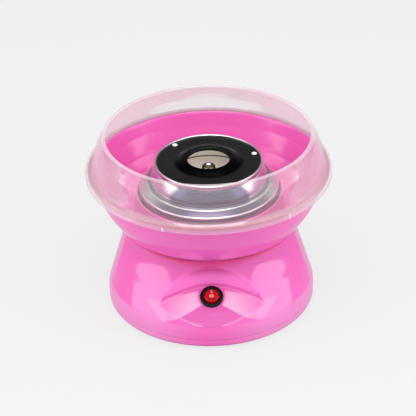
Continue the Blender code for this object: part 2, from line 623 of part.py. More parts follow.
def rocker_body():
    """A round rocker: its face is two planes that rise from the middle to the ends."""
    bm = bmesh.new()
    turns = [TAU * i / ROCKER_SIDES for i in range(ROCKER_SIDES)]
    rings = []
    for radius, z in ROCKER_LEVELS:
        rings.append([
            bm.verts.new((radius * MM * math.cos(a), radius * MM * math.sin(a), z * MM))
            for a in turns])
    rim = []
    for a in turns:
        x, y, _ = polar(ROCKER_RIM_R, a)
        rim.append(bm.verts.new((x * MM, y * MM, (ROCKER_MIDDLE_Z + ROCKER_RISE * abs(y)) * MM)))
    rings.append(rim)
    for low, high in zip(rings, rings[1:]):
        for i in range(ROCKER_SIDES):
            j = (i + 1) % ROCKER_SIDES
            bm.faces.new((low[i], low[j], high[j], high[i]))
    half = ROCKER_SIDES // 2
    bm.faces.new(rings[0])
    bm.faces.new(rim[:half + 1])
    bm.faces.new(rim[half:] + [rim[0]])
    turn = (SWITCH_TURN[0] + ROCKER_REST, 0, 0)
    return from_bmesh("switch_rocker", bm, RED, SWITCH_AT, turn, sharp=20)


def build_switch():
    """Housing with its terminals, and the rocker on a pivot pin across it."""
    housing = turned("switch_housing", HOUSING_OUTLINE, 20, BLACK, SWITCH_AT, SWITCH_TURN)
    pin_hole = rod("cut_housing_pin", 1.15, -12.0, 12.0, 12, BLACK, turn=ALONG_X)
    boolean(housing, pin_hole)
    pin_hole.parent = housing
    for k, x in enumerate((-TERMINAL_X, TERMINAL_X)):
        terminal = block(f"switch_terminal_{k + 1}", (0.9, 5.0, 8.0), (x, 0, -17.4), BRASS)
        terminal.parent = housing
    rocker = rocker_body()
    pin = rod("cut_rocker_pin", 0.85, -9.0, 9.0, 12, RED, turn=ALONG_X)
    boolean(rocker, pin, "UNION")
    pin.parent = rocker


# ---------------------------------------------------------------- rectifier, cord and plug
STRAIN_RELIEF_OUTLINE = [
    (3.5, -12.0), (4.6, -11.6), (4.6, -3.4), (5.0, -3.0), (5.0, 3.2), (6.4, 3.4), (6.4, 5.4),
    (3.3, 5.4),
]
PLUG_OUTLINE = [
    (0, -15.0), (4.4, -15.0), (5.0, -12.0), (6.6, -4.0), (6.8, 12.0), (5.6, 15.0), (0, 15.0),
]
PLUG_PIN_OUTLINE = [(0, 15.3), (2.0, 15.3), (2.0, 30.5), (1.5, 31.6), (0, 31.8)]
PLUG_ANGLE = math.radians(118.5)
PLUG_AT = polar(115.0, PLUG_ANGLE, 7.3)
# (x, y, z) from inside the base, out of the back and down to the table
CORD_DROP = [
    (0, 86.0, CORD_Z), (0, 104.0, CORD_Z), (0, 117.0, CORD_Z), (0.6, 119.0, 15.4),
    (2.2, 120.0, 13.2), (5.2, 120.2, 9.0), (9.4, 119.6, 5.2), (14.5, 118.8, 3.6),
]
# (degrees round the axis, radius, z) where the cord rises to the plug
CORD_RISE = [
    (102.5, 111.2, 3.9), (104.8, 113.2, 5.3), (107.0, 115.2, 6.6), (109.12, 116.56, 7.3),
    (110.87, 116.02, 7.3),
]
CORD_OUT_R, CORD_BACK_R = 119.6, 110.4   # the flat loop's outer and inner lanes
CORD_FLAT_Z = 3.4
CORD_FROM, CORD_TURN, CORD_TO = radians_of(78, 44, 100)


def cord_path():
    """Down to the table, round a flat loop behind the skirt and back to the plug."""
    points = list(CORD_DROP)
    for i in range(9):
        angle = CORD_FROM + (CORD_TURN - CORD_FROM) * i / 8
        points.append(polar(CORD_OUT_R, angle, CORD_FLAT_Z))
    middle, half = (CORD_OUT_R + CORD_BACK_R) / 2, (CORD_OUT_R - CORD_BACK_R) / 2
    cos_turn, sin_turn = math.cos(CORD_TURN), math.sin(CORD_TURN)
    for i in range(1, 8):
        bend = math.pi * i / 8
        out, past = middle + half * math.cos(bend), half * math.sin(bend)
        points.append(
            (out * cos_turn + past * sin_turn, out * sin_turn - past * cos_turn, CORD_FLAT_Z))
    for i in range(15):
        angle = CORD_TURN + (CORD_TO - CORD_TURN) * i / 14
        points.append(polar(CORD_BACK_R, angle, CORD_FLAT_Z))
    points += [polar(radius, math.radians(degrees), z) for degrees, radius, z in CORD_RISE]
    return points


def build_cord():
    turned("strain_relief", STRAIN_RELIEF_OUTLINE, 12, BLACK, (0, 105.2, CORD_Z), ALONG_Y)
    wire("power_cord", cord_path(), 2.9, BLACK, roundness=2)
    plug_turn = (0, math.pi / 2, PLUG_ANGLE + math.pi / 2)
    plug = turned("plug_body", PLUG_OUTLINE, 16, BLACK, PLUG_AT, plug_turn)
    for k, y in enumerate((-3.6, 3.6)):
        pin = turned(f"plug_pin_{k + 1}", PLUG_PIN_OUTLINE, 12, BRASS, (0, y, 0))
        pin.parent = plug


# ---------------------------------------------------------------- wiring
LEAD_R = 0.9
LEAD_START = -21.9       # just behind the switch's terminals
SWITCH_MATRIX = Matrix.Translation(Vector(SWITCH_AT)) @ Matrix.Rotation(SWITCH_TURN[0], 4, "X")


def behind_switch(x, z):
    return SWITCH_MATRIX @ Vector((x, 0, z))


# name: material, bend radius, (x, y, z) corners
LEADS = {
    "wire_live": (WIRE_RED, 9, [
        (3.8, 83.0, 16.0), (30.0, 78.0, 16.0), (58.0, 40.0, 14.0), (58.0, -30.0, 14.0),
        (24.0, -52.0, 16.0), behind_switch(TERMINAL_X, -27.0),
        behind_switch(TERMINAL_X, LEAD_START)]),
    "wire_switched": (WIRE_RED, 9, [
        behind_switch(-TERMINAL_X, LEAD_START), behind_switch(-TERMINAL_X, -26.0),
        (-26.0, -40.0, 30.0), (-40.0, 10.0, 40.0), (-30.0, 44.0, 74.0),
        (-LEG_X, LEG_Y, 80.0), (-LEG_X, LEG_Y, LEG_WIRE_Z)]),
    "wire_neutral": (WIRE_BLUE, 7, [
        (-3.8, 83.0, 16.0), (-8.0, 79.0, 30.0), (4.0, 66.0, 60.0),
        (LEG_X, LEG_Y, 78.0), (LEG_X, LEG_Y, LEG_WIRE_Z)]),
    "wire_motor": (WIRE_RED, 5, [
        (6.0, 56.0, 10.8), (6.0, 56.0, 16.0), (8.0, 30.0, 18.0), (9.0, 10.0, 22.0),
        (9.0, 8.0, 31.6)]),
}


def build_wiring():
    block("rectifier_board", (34.0, 24.0, 1.6), (0, 62.0, 9.6), BOARD)
    for name, (mat, bend, corners) in LEADS.items():
        wire(name, rounded_path(corners, bend), LEAD_R, mat)


build_base_shell()
build_bottom()
build_bowl()
build_guard()
build_heater()
build_motor_mount()
build_motor()
build_shaft()
build_head()
build_hub()
build_switch()
build_cord()
build_wiring()
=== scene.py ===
import math

import bmesh
import bpy
from mathutils import Matrix, Vector


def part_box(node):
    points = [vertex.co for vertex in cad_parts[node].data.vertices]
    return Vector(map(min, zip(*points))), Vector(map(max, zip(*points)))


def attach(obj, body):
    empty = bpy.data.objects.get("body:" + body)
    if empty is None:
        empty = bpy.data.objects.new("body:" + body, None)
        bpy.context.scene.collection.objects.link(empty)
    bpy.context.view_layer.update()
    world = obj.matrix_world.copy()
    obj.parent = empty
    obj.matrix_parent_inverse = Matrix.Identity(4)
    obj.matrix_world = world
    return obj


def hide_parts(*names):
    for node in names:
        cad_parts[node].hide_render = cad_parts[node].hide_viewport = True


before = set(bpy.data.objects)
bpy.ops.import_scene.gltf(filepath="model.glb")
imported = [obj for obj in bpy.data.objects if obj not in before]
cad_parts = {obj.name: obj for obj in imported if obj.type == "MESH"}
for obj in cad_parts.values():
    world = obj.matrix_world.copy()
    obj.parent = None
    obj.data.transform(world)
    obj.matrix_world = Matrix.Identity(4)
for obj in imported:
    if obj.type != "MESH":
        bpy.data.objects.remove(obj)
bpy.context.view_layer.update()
MM = 0.001
TAU = 2 * math.pi
SCENE = bpy.context.scene
SCENE.view_settings.view_transform = "Standard"
SCENE.view_settings.look = "None"

# ================================================================ shared dimensions
# Angles in degrees run anticlockwise from +X, seen from above: 90 is the back, 270 the front.
FOOT_H = 2.6
SKIRT_R = 107.2
SKIRT_TOP = 26.0
SHELL_BOTTOM = 11.3
DECK_Z = 96.2
TOWER_R = 68.5
TOWER_TOP = 125.6

POST_R = 56.5
POST_ANGLES = (30.0, 150.0, 270.0)        # standoffs under the heater pan
PLATE_ANGLES = (90.0, 210.0, 330.0)       # dampers and screws of the motor plate
SCREW_R = 94.5
SCREW_ANGLES = (40.0, 140.0, 220.0, 320.0)
FOOT_R = 80.0
FOOT_ANGLES = {
    "foot_back_right": 45.0,
    "foot_back_left": 135.0,
    "foot_front_left": 225.0,
    "foot_front_right": 315.0,
}

LEG_X = 9.0                               # upright ends of the heating element
ELEMENT_R = 46.0
ELEMENT_Z = 118.4
LEG_Y = ELEMENT_R * math.cos(math.asin(LEG_X / ELEMENT_R))
PIN_Z = 131.6                             # drive pin through the shaft
CORD_Z = 16.0

SWITCH_Y = -77.4
SWITCH_Z = 43.7
FLOOR_TILT = math.radians(57)             # slope of the recess floor that holds the switch
SWITCH_AT = Vector((0.0, SWITCH_Y, SWITCH_Z))
SWITCH_TURN = math.pi / 2 - FLOOR_TILT
SWITCH_FRAME = Matrix.Translation(SWITCH_AT * MM) @ Matrix.Rotation(SWITCH_TURN, 4, "X")
ROCKER_REST = math.radians(-9.0)
ROCKER_FRAME = Matrix.Translation(SWITCH_AT * MM) @ Matrix.Rotation(
    SWITCH_TURN + ROCKER_REST, 4, "X"
)

ALONG_X = Matrix.Rotation(math.pi / 2, 4, "Y")
ALONG_Y = Matrix.Rotation(math.pi / 2, 4, "X")


# ================================================================ shader graph
def math_node(operation, swapped=False):
    """An operator for Signal that makes one Math node."""

    def apply(self, other=0.0):
        pair = (other, self) if swapped else (self, other)
        return self.graph.node("Math", *pair, operation=operation)

    return apply


class Signal:
    """The output of a shader node. Arithmetic on it makes Math nodes."""

    def __init__(self, graph, socket):
        self.graph = graph
        self.socket = socket

    __add__ = math_node("ADD")
    __radd__ = math_node("ADD", swapped=True)
    __sub__ = math_node("SUBTRACT")
    __rsub__ = math_node("SUBTRACT", swapped=True)
    __mul__ = math_node("MULTIPLY")
    __truediv__ = math_node("DIVIDE")
    __pow__ = math_node("POWER")
    __lt__ = math_node("LESS_THAN")
    __abs__ = math_node("ABSOLUTE")
    root = math_node("SQRT")
    at_least = math_node("MAXIMUM")
    at_most = math_node("MINIMUM")

    def ramp(self, start, end, low=0.0, high=1.0):
        """Goes from low to high while the signal goes from start to end."""
        limits = {"From_Min": start, "From_Max": end, "To_Min": low, "To_Max": high}
        return self.graph.node("MapRange", Value=self, **limits)

    def fall(self, start, end):
        """Goes from 1 to 0 while the signal goes from start to end."""
        return self.ramp(start, end, low=1.0, high=0.0)

    def scaled(self, low, high):
        """Stretches 0..1 to low..high."""
        return self.ramp(0.0, 1.0, low, high)

    def vary(self, low=0.0, high=1.0):
        """Stretches the busy middle of a noise, 0.3..0.7, to low..high."""
        return self.ramp(0.3, 0.7, low, high)


class Graph:
    """Builds the node tree of a material or a world."""

    def __init__(self, owner, output="OutputMaterial"):
        owner.use_nodes = True
        self.owner = owner
        self.tree = owner.node_tree
        self.tree.nodes.clear()
        self.output = self.tree.nodes.new("ShaderNode" + output)

    def put(self, socket, value):
        if isinstance(value, Signal):
            self.tree.links.new(value.socket, socket)
        elif value is not None:
            if socket.type == "RGBA":
                value = (*value, 1.0)
            socket.default_value = value

    def node(self, kind, *inputs, output=0, **values):
        """Lower-case keywords are node properties; capitalised ones are inputs by name."""
        node = self.tree.nodes.new("ShaderNode" + kind)
        for key, value in values.items():
            if key[0].islower():
                setattr(node, key, value)
            else:
                self.put(node.inputs[key.replace("_", " ")], value)
        for index, value in enumerate(inputs):
            self.put(node.inputs[index], value)
        return Signal(self, node.outputs[output])

    def coords(self):
        return self.node("TexCoord", output="Object")

    def split(self, vector):
        """The x, y and z of a vector."""
        node = self.node("SeparateXYZ", vector).socket.node
        return [Signal(self, socket) for socket in node.outputs]

    def position(self):
        return self.split(self.coords())

    def axis_distance(self, x, y):
        flat = self.node("CombineXYZ", X=x, Y=y)
        return self.node("VectorMath", flat, operation="LENGTH", output="Value")

    def noise(self, scale, detail=2.0, roughness=0.5):
        return self.node(
            "TexNoise", Scale=scale, Detail=detail, Roughness=roughness,
            Vector=self.coords(), output="Fac",
        )

    def turning_marks(self, scale, detail=3.0):
        """Concentric noise: depends on the distance from the axis and a little on height."""
        x, y, z = self.position()
        along = self.axis_distance(x, y) + z * 0.7
        return self.node(
            "TexNoise", noise_dimensions="1D", W=along, Scale=scale, Detail=detail, output="Fac"
        )

    def occlusion(self, distance):
        return self.node("AmbientOcclusion", samples=6, Distance=distance, output="AO")

    def blend(self, factor, first, second, kind="MIX"):
        node = self.tree.nodes.new("ShaderNodeMix")
        node.data_type = "RGBA"
        node.blend_type = kind
        # Colour sockets of the Mix node are 6 and 7 in, 2 out.
        for index, value in ((0, factor), (6, first), (7, second)):
            self.put(node.inputs[index], value)
        return Signal(self, node.outputs[2])

    def bump(self, height, strength, distance, normal=None):
        return self.node(
            "Bump", Height=height, Strength=strength, Distance=distance, Normal=normal
        )

    def finish(self, shader):
        self.tree.links.new(shader.socket, self.output.inputs["Surface"])
        return self.owner

    def finish_principled(self, **inputs):
        return self.finish(self.node("BsdfPrincipled", **inputs))


def new_material(name):
    return Graph(bpy.data.materials.new(name))


# ================================================================ materials
# Two bare numbers after ramp or fall are where it starts and where it ends.
def pink_abs():
    """Glossy coloured plastic, with painted shade in its creases, in the switch recess and on the
    neck under the bowl, and painted light on the recess, the sides and the bowl's underside.
    """
    g = new_material("vis_pink_abs")
    flow = g.noise(scale=14, detail=3, roughness=0.55)
    fine = g.noise(scale=1500, detail=2, roughness=0.6)
    colour = g.blend(flow.vary(), (0.735, 0.103, 0.415), (0.750, 0.117, 0.440))
    # Painted shade: darkens creases and hollows where other surfaces are close.
    crease_shade = g.occlusion(distance=0.018).ramp(0.05, 0.50, low=0.85, high=0.0)

    # Painted shadow of the bowl on the neck: strongest just below the line where the bowl hides
    # it.
    x, y, z = g.position()
    deck_z = 0.0963
    bowl_r = 0.0936
    aside = abs(x)
    brim = (bowl_r**2 - aside * aside).at_least(0.0).root()
    below = 0.0975 - (y + brim) * 0.63 - z
    front = y.ramp(-0.040, 0.0, low=1.0, high=0.35)
    neck = (z < deck_z) * front
    wide = g.occlusion(distance=0.034)
    covered = wide.fall(0.92, 0.985) * neck * below.ramp(-0.0040, -0.0020)
    thinned = below * (1.0 + aside * aside * 600.0)
    soft_shade = thinned.fall(0.0036, 0.0155) ** 1.4 * covered
    bowl_shadow_line = below.fall(0.0009, 0.0022) * aside.fall(0.030, 0.066) * covered

    # Painted highlight: the facets on both sides of the switch are made paler, as a reflection
    # of the lamps. up runs up the tilted floor of the recess and depth across it, from the
    # switch's middle.
    tilt_cos = 0.5446
    tilt_sin = 0.8387
    up = (z - SWITCH_Z * MM) / tilt_cos
    reach = (aside * aside + up * up).root()
    above = (up + 0.003 + aside * 0.62).ramp(-0.0006, 0.0012)
    under = (up + (aside - 0.012) * 0.236).fall(0.0040, 0.0066)
    depth = (y + -SWITCH_Y * MM) * -tilt_cos + (z - SWITCH_Z * MM) * tilt_sin
    on_floor = depth.fall(0.0004, 0.0012) * depth.ramp(-0.0075, -0.0065)
    far = reach.ramp(0.0134, 0.0142) * aside.ramp(0.020, 0.048, low=1.0, high=0.25)
    facet = above * under * (on_floor * (far * front))
    painted_strength = 0.85
    colour = g.blend(facet * painted_strength, colour, (0.82, 0.46, 0.64))

    # Painted shade makes the middle of the floor a little darker, painted light the wall behind it
    # paler.
    flush = abs(depth + 0.0001).fall(0.0004, 0.0009)
    level = flush * front * (1.0 - above)
    colour = g.blend(level * painted_strength, colour, (0.56, 0.105, 0.355))
    climb = (z - 0.0590).at_least(0.0)
    bow = aside * aside / (WALL_BEND * MM)
    off_wall = abs(y + 0.0661 + (climb * 0.30 + bow))
    wall = off_wall.fall(0.0009, 0.0018) * depth.ramp(0.0006, 0.0018)
    wall = wall * z.fall(0.062, 0.071) * (front * (aside < 0.046))
    colour = g.blend(wall * painted_strength, colour, (1.0, 0.215, 0.66))

    # Painted light: where the outside of the bowl faces down, its colour is made lighter and
    # redder.
    facing_up = g.split(g.node("NewGeometry", output="Normal"))[2]
    outside = facing_up.fall(-0.12, 0.0) * z.ramp(deck_z, 0.0975)
    colour = g.blend(outside, colour, (0.87, 0.128, 0.505))

    # Painted light: the shell's sides and the ends of its skirt are made paler than the scooped
    # front, as a sheen from the side lamps.
    skirt_ends = z.fall(0.0257, 0.0263) * aside.ramp(0.010, 0.058)
    sides = y.ramp(-0.0194, -0.0186, low=0.0, high=0.5).at_least(skirt_ends) * (z < deck_z)
    colour = g.blend(sides * 0.42, colour, (0.70, 0.34, 0.60))

    # Painted shade: creases are darkened to red, less so round the switch; the painted shadow of
    # the bowl goes on top.
    open_part = 1.0 - reach.fall(0.050, 0.058) * front * 0.8
    colour = g.blend(crease_shade * open_part, colour, (0.42, 0.004, 0.055))
    colour = g.blend(soft_shade, colour, (0.72, 0.002, 0.040))
    colour = g.blend(bowl_shadow_line, colour, (0.10, 0.0, 0.008))
    waves = g.bump(g.noise(scale=22, detail=2), strength=0.03, distance=0.002)
    return g.finish_principled(
        Base_Color=colour,
        Roughness=g.noise(scale=60, detail=3).scaled(low=0.075, high=0.11),
        Normal=g.bump(fine, strength=0.04, distance=0.0002, normal=waves),
        IOR=1.55,
        Specular_IOR_Level=0.5 - bowl_shadow_line.at_least(soft_shade * 0.9) * 0.45,
        Subsurface_Weight=0.08,
        Subsurface_Radius=(0.004, 0.002, 0.003),
        Subsurface_Scale=0.5,
    )


def milky_pp():
    """Translucent sheet: light goes partly through, is partly scattered; the skin is glossy."""
    g = new_material("vis_clear_pp")
    haze = g.noise(scale=18, detail=3, roughness=0.55).vary(low=0.100, high=0.130)
    grain = g.bump(g.noise(scale=900, detail=2), strength=0.03, distance=0.0002)
    normal = g.bump(g.noise(scale=30, detail=2), strength=0.05, distance=0.002, normal=grain)

    # Hazier at grazing angles, at the top bead and at the low rim.
    edge = g.node("LayerWeight", Blend=0.35, output="Facing") ** 3.0
    haze = haze + edge * 0.24
    z = g.position()[2]
    haze = haze + z.ramp(0.1872, 0.1886, low=0.0, high=0.26)
    haze = haze + z.ramp(0.1540, 0.1565, low=0.10, high=0.0)
    haze = haze.at_most(0.92)

    milk = {"Color": (0.94, 0.89, 0.92), "Normal": normal}
    through = g.node("BsdfTransparent", Color=(0.99, 0.985, 0.988))
    back_share = 0.45
    scatter = g.node(
        "MixShader", back_share, g.node("BsdfDiffuse", **milk), g.node("BsdfTranslucent", **milk)
    )
    body = g.node("MixShader", haze, through, scatter)
    gloss = g.node("BsdfGlossy", Color=(1, 1, 1), Roughness=0.09, Normal=normal)
    fresnel = g.node("Fresnel", IOR=1.36, Normal=normal)
    return g.finish(g.node("MixShader", fresnel * 0.42, body, gloss))


def coated_black():
    """Black coating: satin on the flat ring; painted shade makes the raised collar blacker, most
    at its front.
    """
    g = new_material("vis_black_coating")
    x, y, _ = g.position()
    # Painted shade: the raised collar is blacker and less glossy, most at its front.
    shaded_front = y.ramp(-0.012, 0.014, low=1.0, high=0.45)
    collar = g.axis_distance(x, y).fall(0.0335, 0.0370) * shaded_front
    speck = g.noise(scale=900, detail=3, roughness=0.6)
    waves = g.bump(g.noise(scale=120, detail=2), strength=0.06, distance=0.001)
    patches = g.noise(scale=40, detail=3).ramp(0.35, 0.65)
    colour = g.blend(patches, (0.0045, 0.0045, 0.005), (0.009, 0.0085, 0.0095))
    return g.finish_principled(
        Base_Color=g.blend(collar, colour, (0.0008, 0.0007, 0.0008)),
        Roughness=g.noise(scale=70, detail=3).scaled(low=0.20, high=0.30),
        Normal=g.bump(speck, strength=0.10, distance=0.0003, normal=waves),
        Specular_IOR_Level=0.17 - collar * 0.155,
    )


def metal(name, first, second, roughness, turning, strength, grime=0.0, matt=0.0):
    """Turned metal between two colours; turning is how fine the marks are, strength how deep."""
    g = new_material(name)
    rings = g.turning_marks(turning)
    colour = g.blend(g.noise(scale=45, detail=4, roughness=0.6).vary(), first, second)
    if grime:
        dirt = g.noise(scale=160, detail=4, roughness=0.65).ramp(0.52, 0.75)
        colour = g.blend(dirt * grime, colour, tuple(c * 0.35 for c in first))
    spread = 0.03
    patches = g.noise(scale=80, detail=3).scaled(roughness - spread, roughness + spread)
    grain = g.bump(g.noise(scale=700, detail=2), strength=0.04, distance=0.0002)
    return g.finish_principled(
        Base_Color=colour,
        Roughness=rings.vary(low=-0.05, high=0.07) + patches,
        Metallic=1.0 - matt,
        Normal=g.bump(rings, strength, distance=0.0003, normal=grain),
    )


def head_inside():
    """Brushed floor of the sugar head, darker to the hub, with a dark line at the cup's wall,
    painted light making one side paler, and a painted glow over all of it.
    """
    g = new_material("vis_aluminium_inside")
    x, y, _ = g.position()
    distance = g.axis_distance(x, y)
    rings = g.turning_marks(scale=2600, detail=4)
    colour = g.blend(rings.vary(), (0.56, 0.49, 0.39), (0.86, 0.80, 0.70))
    # Painted light: one side of the floor is paler, the other darker.
    across = (x + y * -0.4).ramp(-0.035, 0.030, low=1.10, high=0.72)
    colour = g.blend(1.0, colour, across, "MULTIPLY")
    colour = g.blend(distance.fall(0.0075, 0.0170), colour, (0.045, 0.032, 0.022))
    seam = distance.ramp(0.0405, 0.0418) * distance.fall(0.0428, 0.0440)
    colour = g.blend(seam, colour, (0.030, 0.024, 0.018))
    return g.finish_principled(
        Base_Color=colour,
        Roughness=0.45,
        Metallic=0.6,
        Normal=g.bump(rings, strength=0.18, distance=0.0003),
        # Painted light: the floor glows with its own colour.
        Emission_Color=colour,
        Emission_Strength=0.42,
    )


def pan_metal():
    """Spun pan: bright at the sides and the back, with a painted dark bluish reflection at the
    front and painted highlights along its lip and one edge.
    """
    g = new_material("vis_aluminium_pan")
    y = g.position()[1]
    rings = g.turning_marks(scale=2200)
    wobble = g.noise(scale=30, detail=3).vary(low=-0.006, high=0.006)
    # Painted reflection: the front is darkened and turned bluish.
    front_reflection = (y + wobble).fall(-0.050, -0.022)
    colour = g.blend(rings.vary(), (0.52, 0.50, 0.50), (0.68, 0.66, 0.65))
    colour = g.blend(front_reflection, colour, (0.125, 0.100, 0.165))
    z = g.position()[2]
    # Painted highlights: a bright line on the front of the lip and a bright band on the edge.
    lip = z.ramp(0.1360, 0.1364) * (y < -0.010)
    edge = z.ramp(0.1298, 0.1304) * z.fall(0.1318, 0.1324)
    return g.finish_principled(
        Base_Color=g.blend(lip.at_least(edge) * 0.9, colour, (0.93, 0.90, 0.86)),
        Roughness=rings.vary(low=0.16, high=0.26),
        Metallic=1.0,
        Normal=g.bump(rings, strength=0.14, distance=0.0003),
    )


def cup_metal():
    """Turned cup: pale at the sides, with a painted deep blue reflection at the front and a
    painted highlight along the lip at the bottom.
    """
    g = new_material("vis_aluminium_side")
    _, y, z = g.position()
    rings = g.turning_marks(scale=2200)
    wobble = g.noise(scale=60, detail=3).vary(low=-0.0015, high=0.0015)
    # Painted reflection: the front is turned deep blue.
    ahead = (y + wobble).fall(-0.0460, -0.0415)
    colour = g.blend(rings.vary(), (0.58, 0.57, 0.63), (0.72, 0.71, 0.76))
    colour = g.blend(ahead, colour, (0.085, 0.080, 0.150))
    return g.finish_principled(
        # Painted highlight: a bright band along the lip at the bottom.
        Base_Color=g.blend(z.fall(0.1358, 0.1366), colour, (0.93, 0.92, 0.90)),
        Roughness=rings.vary(low=0.20, high=0.30),
        Metallic=1.0,
        Normal=g.bump(rings, strength=0.12, distance=0.0003),
    )


def moulded(name, first, second, roughness, grain=1200, strength=0.08, specular=0.5):
    """Plain non-metal between two colours; grain is its fineness, strength its depth."""
    g = new_material(name)
    spread = 0.05
    patches = g.noise(scale=90, detail=3)
    bumps = g.noise(scale=grain, detail=2, roughness=0.6)
    return g.finish_principled(
        Base_Color=g.blend(g.noise(scale=60, detail=3).vary(), first, second),
        Roughness=patches.scaled(roughness - spread, roughness + spread),
        Normal=g.bump(bumps, strength, distance=0.0003),
        Specular_IOR_Level=specular,
    )


def red_lens():
    g = new_material("vis_red_lens")
    patches = g.noise(scale=220, detail=3).vary()
    return g.finish_principled(
        Base_Color=g.blend(patches, (0.46, 0.002, 0.003), (0.60, 0.006, 0.007)),
        Roughness=0.16,
        Normal=g.bump(g.noise(scale=600, detail=2), strength=0.06, distance=0.0003),
        Transmission_Weight=0.15,
        Subsurface_Weight=0.25,
        Subsurface_Radius=(0.004, 0.0006, 0.0006),
        Subsurface_Scale=0.5,
        Emission_Color=(0.9, 0.0, 0.0),
        Emission_Strength=0.03,
    )


WALL_BEND = 180.0   # the recess wall stands ahead of its middle by x * x / this

PINK = pink_abs()
CLEAR = milky_pp()
COAT = coated_black()
ALU = metal("vis_aluminium", (0.72, 0.71, 0.69), (0.82, 0.81, 0.79), roughness=0.24,
            turning=2600, strength=0.12)
ALU_INSIDE = head_inside()
ALU_CUP = cup_metal()
ALU_PAN = pan_metal()
HUB = metal("vis_hub", (0.17, 0.14, 0.10), (0.28, 0.23, 0.17), roughness=0.30,
            turning=1800, strength=0.08, grime=0.4)
STEEL = metal("vis_steel", (0.55, 0.55, 0.55), (0.64, 0.64, 0.63), roughness=0.26,
              turning=1800, strength=0.08)
BRASS = metal("vis_brass", (0.62, 0.44, 0.18), (0.72, 0.54, 0.26), roughness=0.28,
              turning=1800, strength=0.08, grime=0.4)
COPPER = metal("vis_copper", (0.62, 0.26, 0.12), (0.74, 0.36, 0.18), roughness=0.32,
               turning=1500, strength=0.35)
BLACK = moulded("vis_black_plastic", (0.003, 0.003, 0.003), (0.006, 0.006, 0.006),
                roughness=0.26, specular=0.15)
RUBBER = moulded("vis_rubber", (0.022, 0.022, 0.023), (0.036, 0.036, 0.036),
                 roughness=0.72, grain=900, strength=0.25, specular=0.3)
CERAMIC = moulded("vis_ceramic", (0.70, 0.68, 0.62), (0.80, 0.78, 0.73),
                  roughness=0.55, grain=800, strength=0.2, specular=0.4)
MAGNET = moulded("vis_magnet", (0.045, 0.045, 0.048), (0.075, 0.075, 0.078),
                 roughness=0.62, grain=500, strength=0.3, specular=0.35)
BOARD = moulded("vis_board", (0.018, 0.115, 0.045), (0.030, 0.160, 0.060),
                roughness=0.38, grain=700, strength=0.1)
WIRE_RED = moulded("vis_wire_red", (0.32, 0.012, 0.012), (0.42, 0.020, 0.020),
                   roughness=0.48, grain=700, strength=0.1)
WIRE_BLUE = moulded("vis_wire_blue", (0.012, 0.045, 0.30), (0.020, 0.065, 0.40),
                    roughness=0.48, grain=700, strength=0.1)
RIVET = metal("vis_rivet", (0.90, 0.90, 0.90), (0.96, 0.96, 0.95), roughness=0.45,
              turning=900, strength=0.05, matt=0.55)
RIB = moulded("vis_lip_rib", (0.86, 0.74, 0.81), (0.92, 0.82, 0.88),
              roughness=0.35, grain=700, strength=0.05)
PRINT = moulded("vis_print", (0.78, 0.76, 0.76), (0.88, 0.86, 0.86),
                roughness=0.45, grain=700, strength=0.05)
LENS = red_lens()


# ================================================================ mesh helpers
def make_object(name, bm, material, sharp=30):
    """Turns a bmesh into the object vis_<name>, smooth below the sharp angle in degrees."""
    bmesh.ops.recalc_face_normals(bm, faces=bm.faces)
    mesh = bpy.data.meshes.new("vis_" + name)
    bm.to_mesh(mesh)
    bm.free()
    mesh.shade_smooth()
    mesh.set_sharp_from_angle(angle=math.radians(sharp))
    mesh.materials.append(material)
    obj = bpy.data.objects.new("vis_" + name, mesh)
    SCENE.collection.objects.link(obj)
    return obj


def fit(obj, body="base", replaces=True):
    """Puts the object on a body of the frame. It replaces the CAD piece of its own name, unless
    told otherwise."""
    if replaces:
        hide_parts(obj.name.removeprefix("vis_"))
    ride(obj, body)


def ride(obj, body):
    bpy.context.view_layer.update()
    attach(obj, body)


def soften(outline, radius, closed):
    """Rounds the corners of an outline; radius is a number or a function of the corner."""
    points = [Vector(p) for p in outline]
    count = len(points)
    out = []
    for i, p in enumerate(points):
        if not closed and i in (0, count - 1):
            out.append(p)
            continue
        before = points[i - 1] - p
        after = points[(i + 1) % count] - p
        if before.length < 1e-9 or after.length < 1e-9:
            continue
        bend = math.pi - before.angle(after)
        corner = radius(p) if callable(radius) else radius
        if bend < math.radians(4) or corner <= 0:
            out.append(p)
            continue
        trim = min(corner * math.tan(bend / 2), 0.45 * before.length, 0.45 * after.length)
        start = p + before.normalized() * trim
        end = p + after.normalized() * trim
        steps = max(2, min(4, int(bend / math.radians(12)) + 1))
        for j in range(steps + 1):
            t = j / steps
            out.append(start * (1 - t) ** 2 + p * 2 * t * (1 - t) + end * t * t)
    return [(q.x, q.y) for q in out]


def split_long(outline, longest, closed):
    """Adds points along long runs, to steady the shading."""
    out = []
    count = len(outline)
    for i in range(count):
        a, b = outline[i], outline[(i + 1) % count]
        out.append(a)
        if i == count - 1 and not closed:
            break
        extra = int(math.hypot(b[0] - a[0], b[1] - a[1]) / longest)
        for j in range(1, extra + 1):
            t = j / (extra + 1)
            out.append((a[0] + (b[0] - a[0]) * t, a[1] + (b[1] - a[1]) * t))
    return out


def circle(radius, steps):
    return [
        (radius * math.cos(TAU * i / steps), radius * math.sin(TAU * i / steps))
        for i in range(steps)
    ]


def flat_ring(bm, radius, z, steps):
    return [bm.verts.new((x * MM, y * MM, z * MM)) for x, y in circle(radius, steps)]


def bridge(bm, rings, closed=False):
    """Joins each ring of vertices to the next with quads, the last to the first if closed."""
    following = rings[1:] + rings[:1] if closed else rings[1:]
    for a, b in zip(rings, following):
        for i in range(len(a)):
            j = (i + 1) % len(a)
            bm.faces.new((a[i], a[j], b[j], b[i]))


def cap_ends(bm, rings):
    bm.faces.new(rings[0][::-1])
    bm.faces.new(rings[-1])


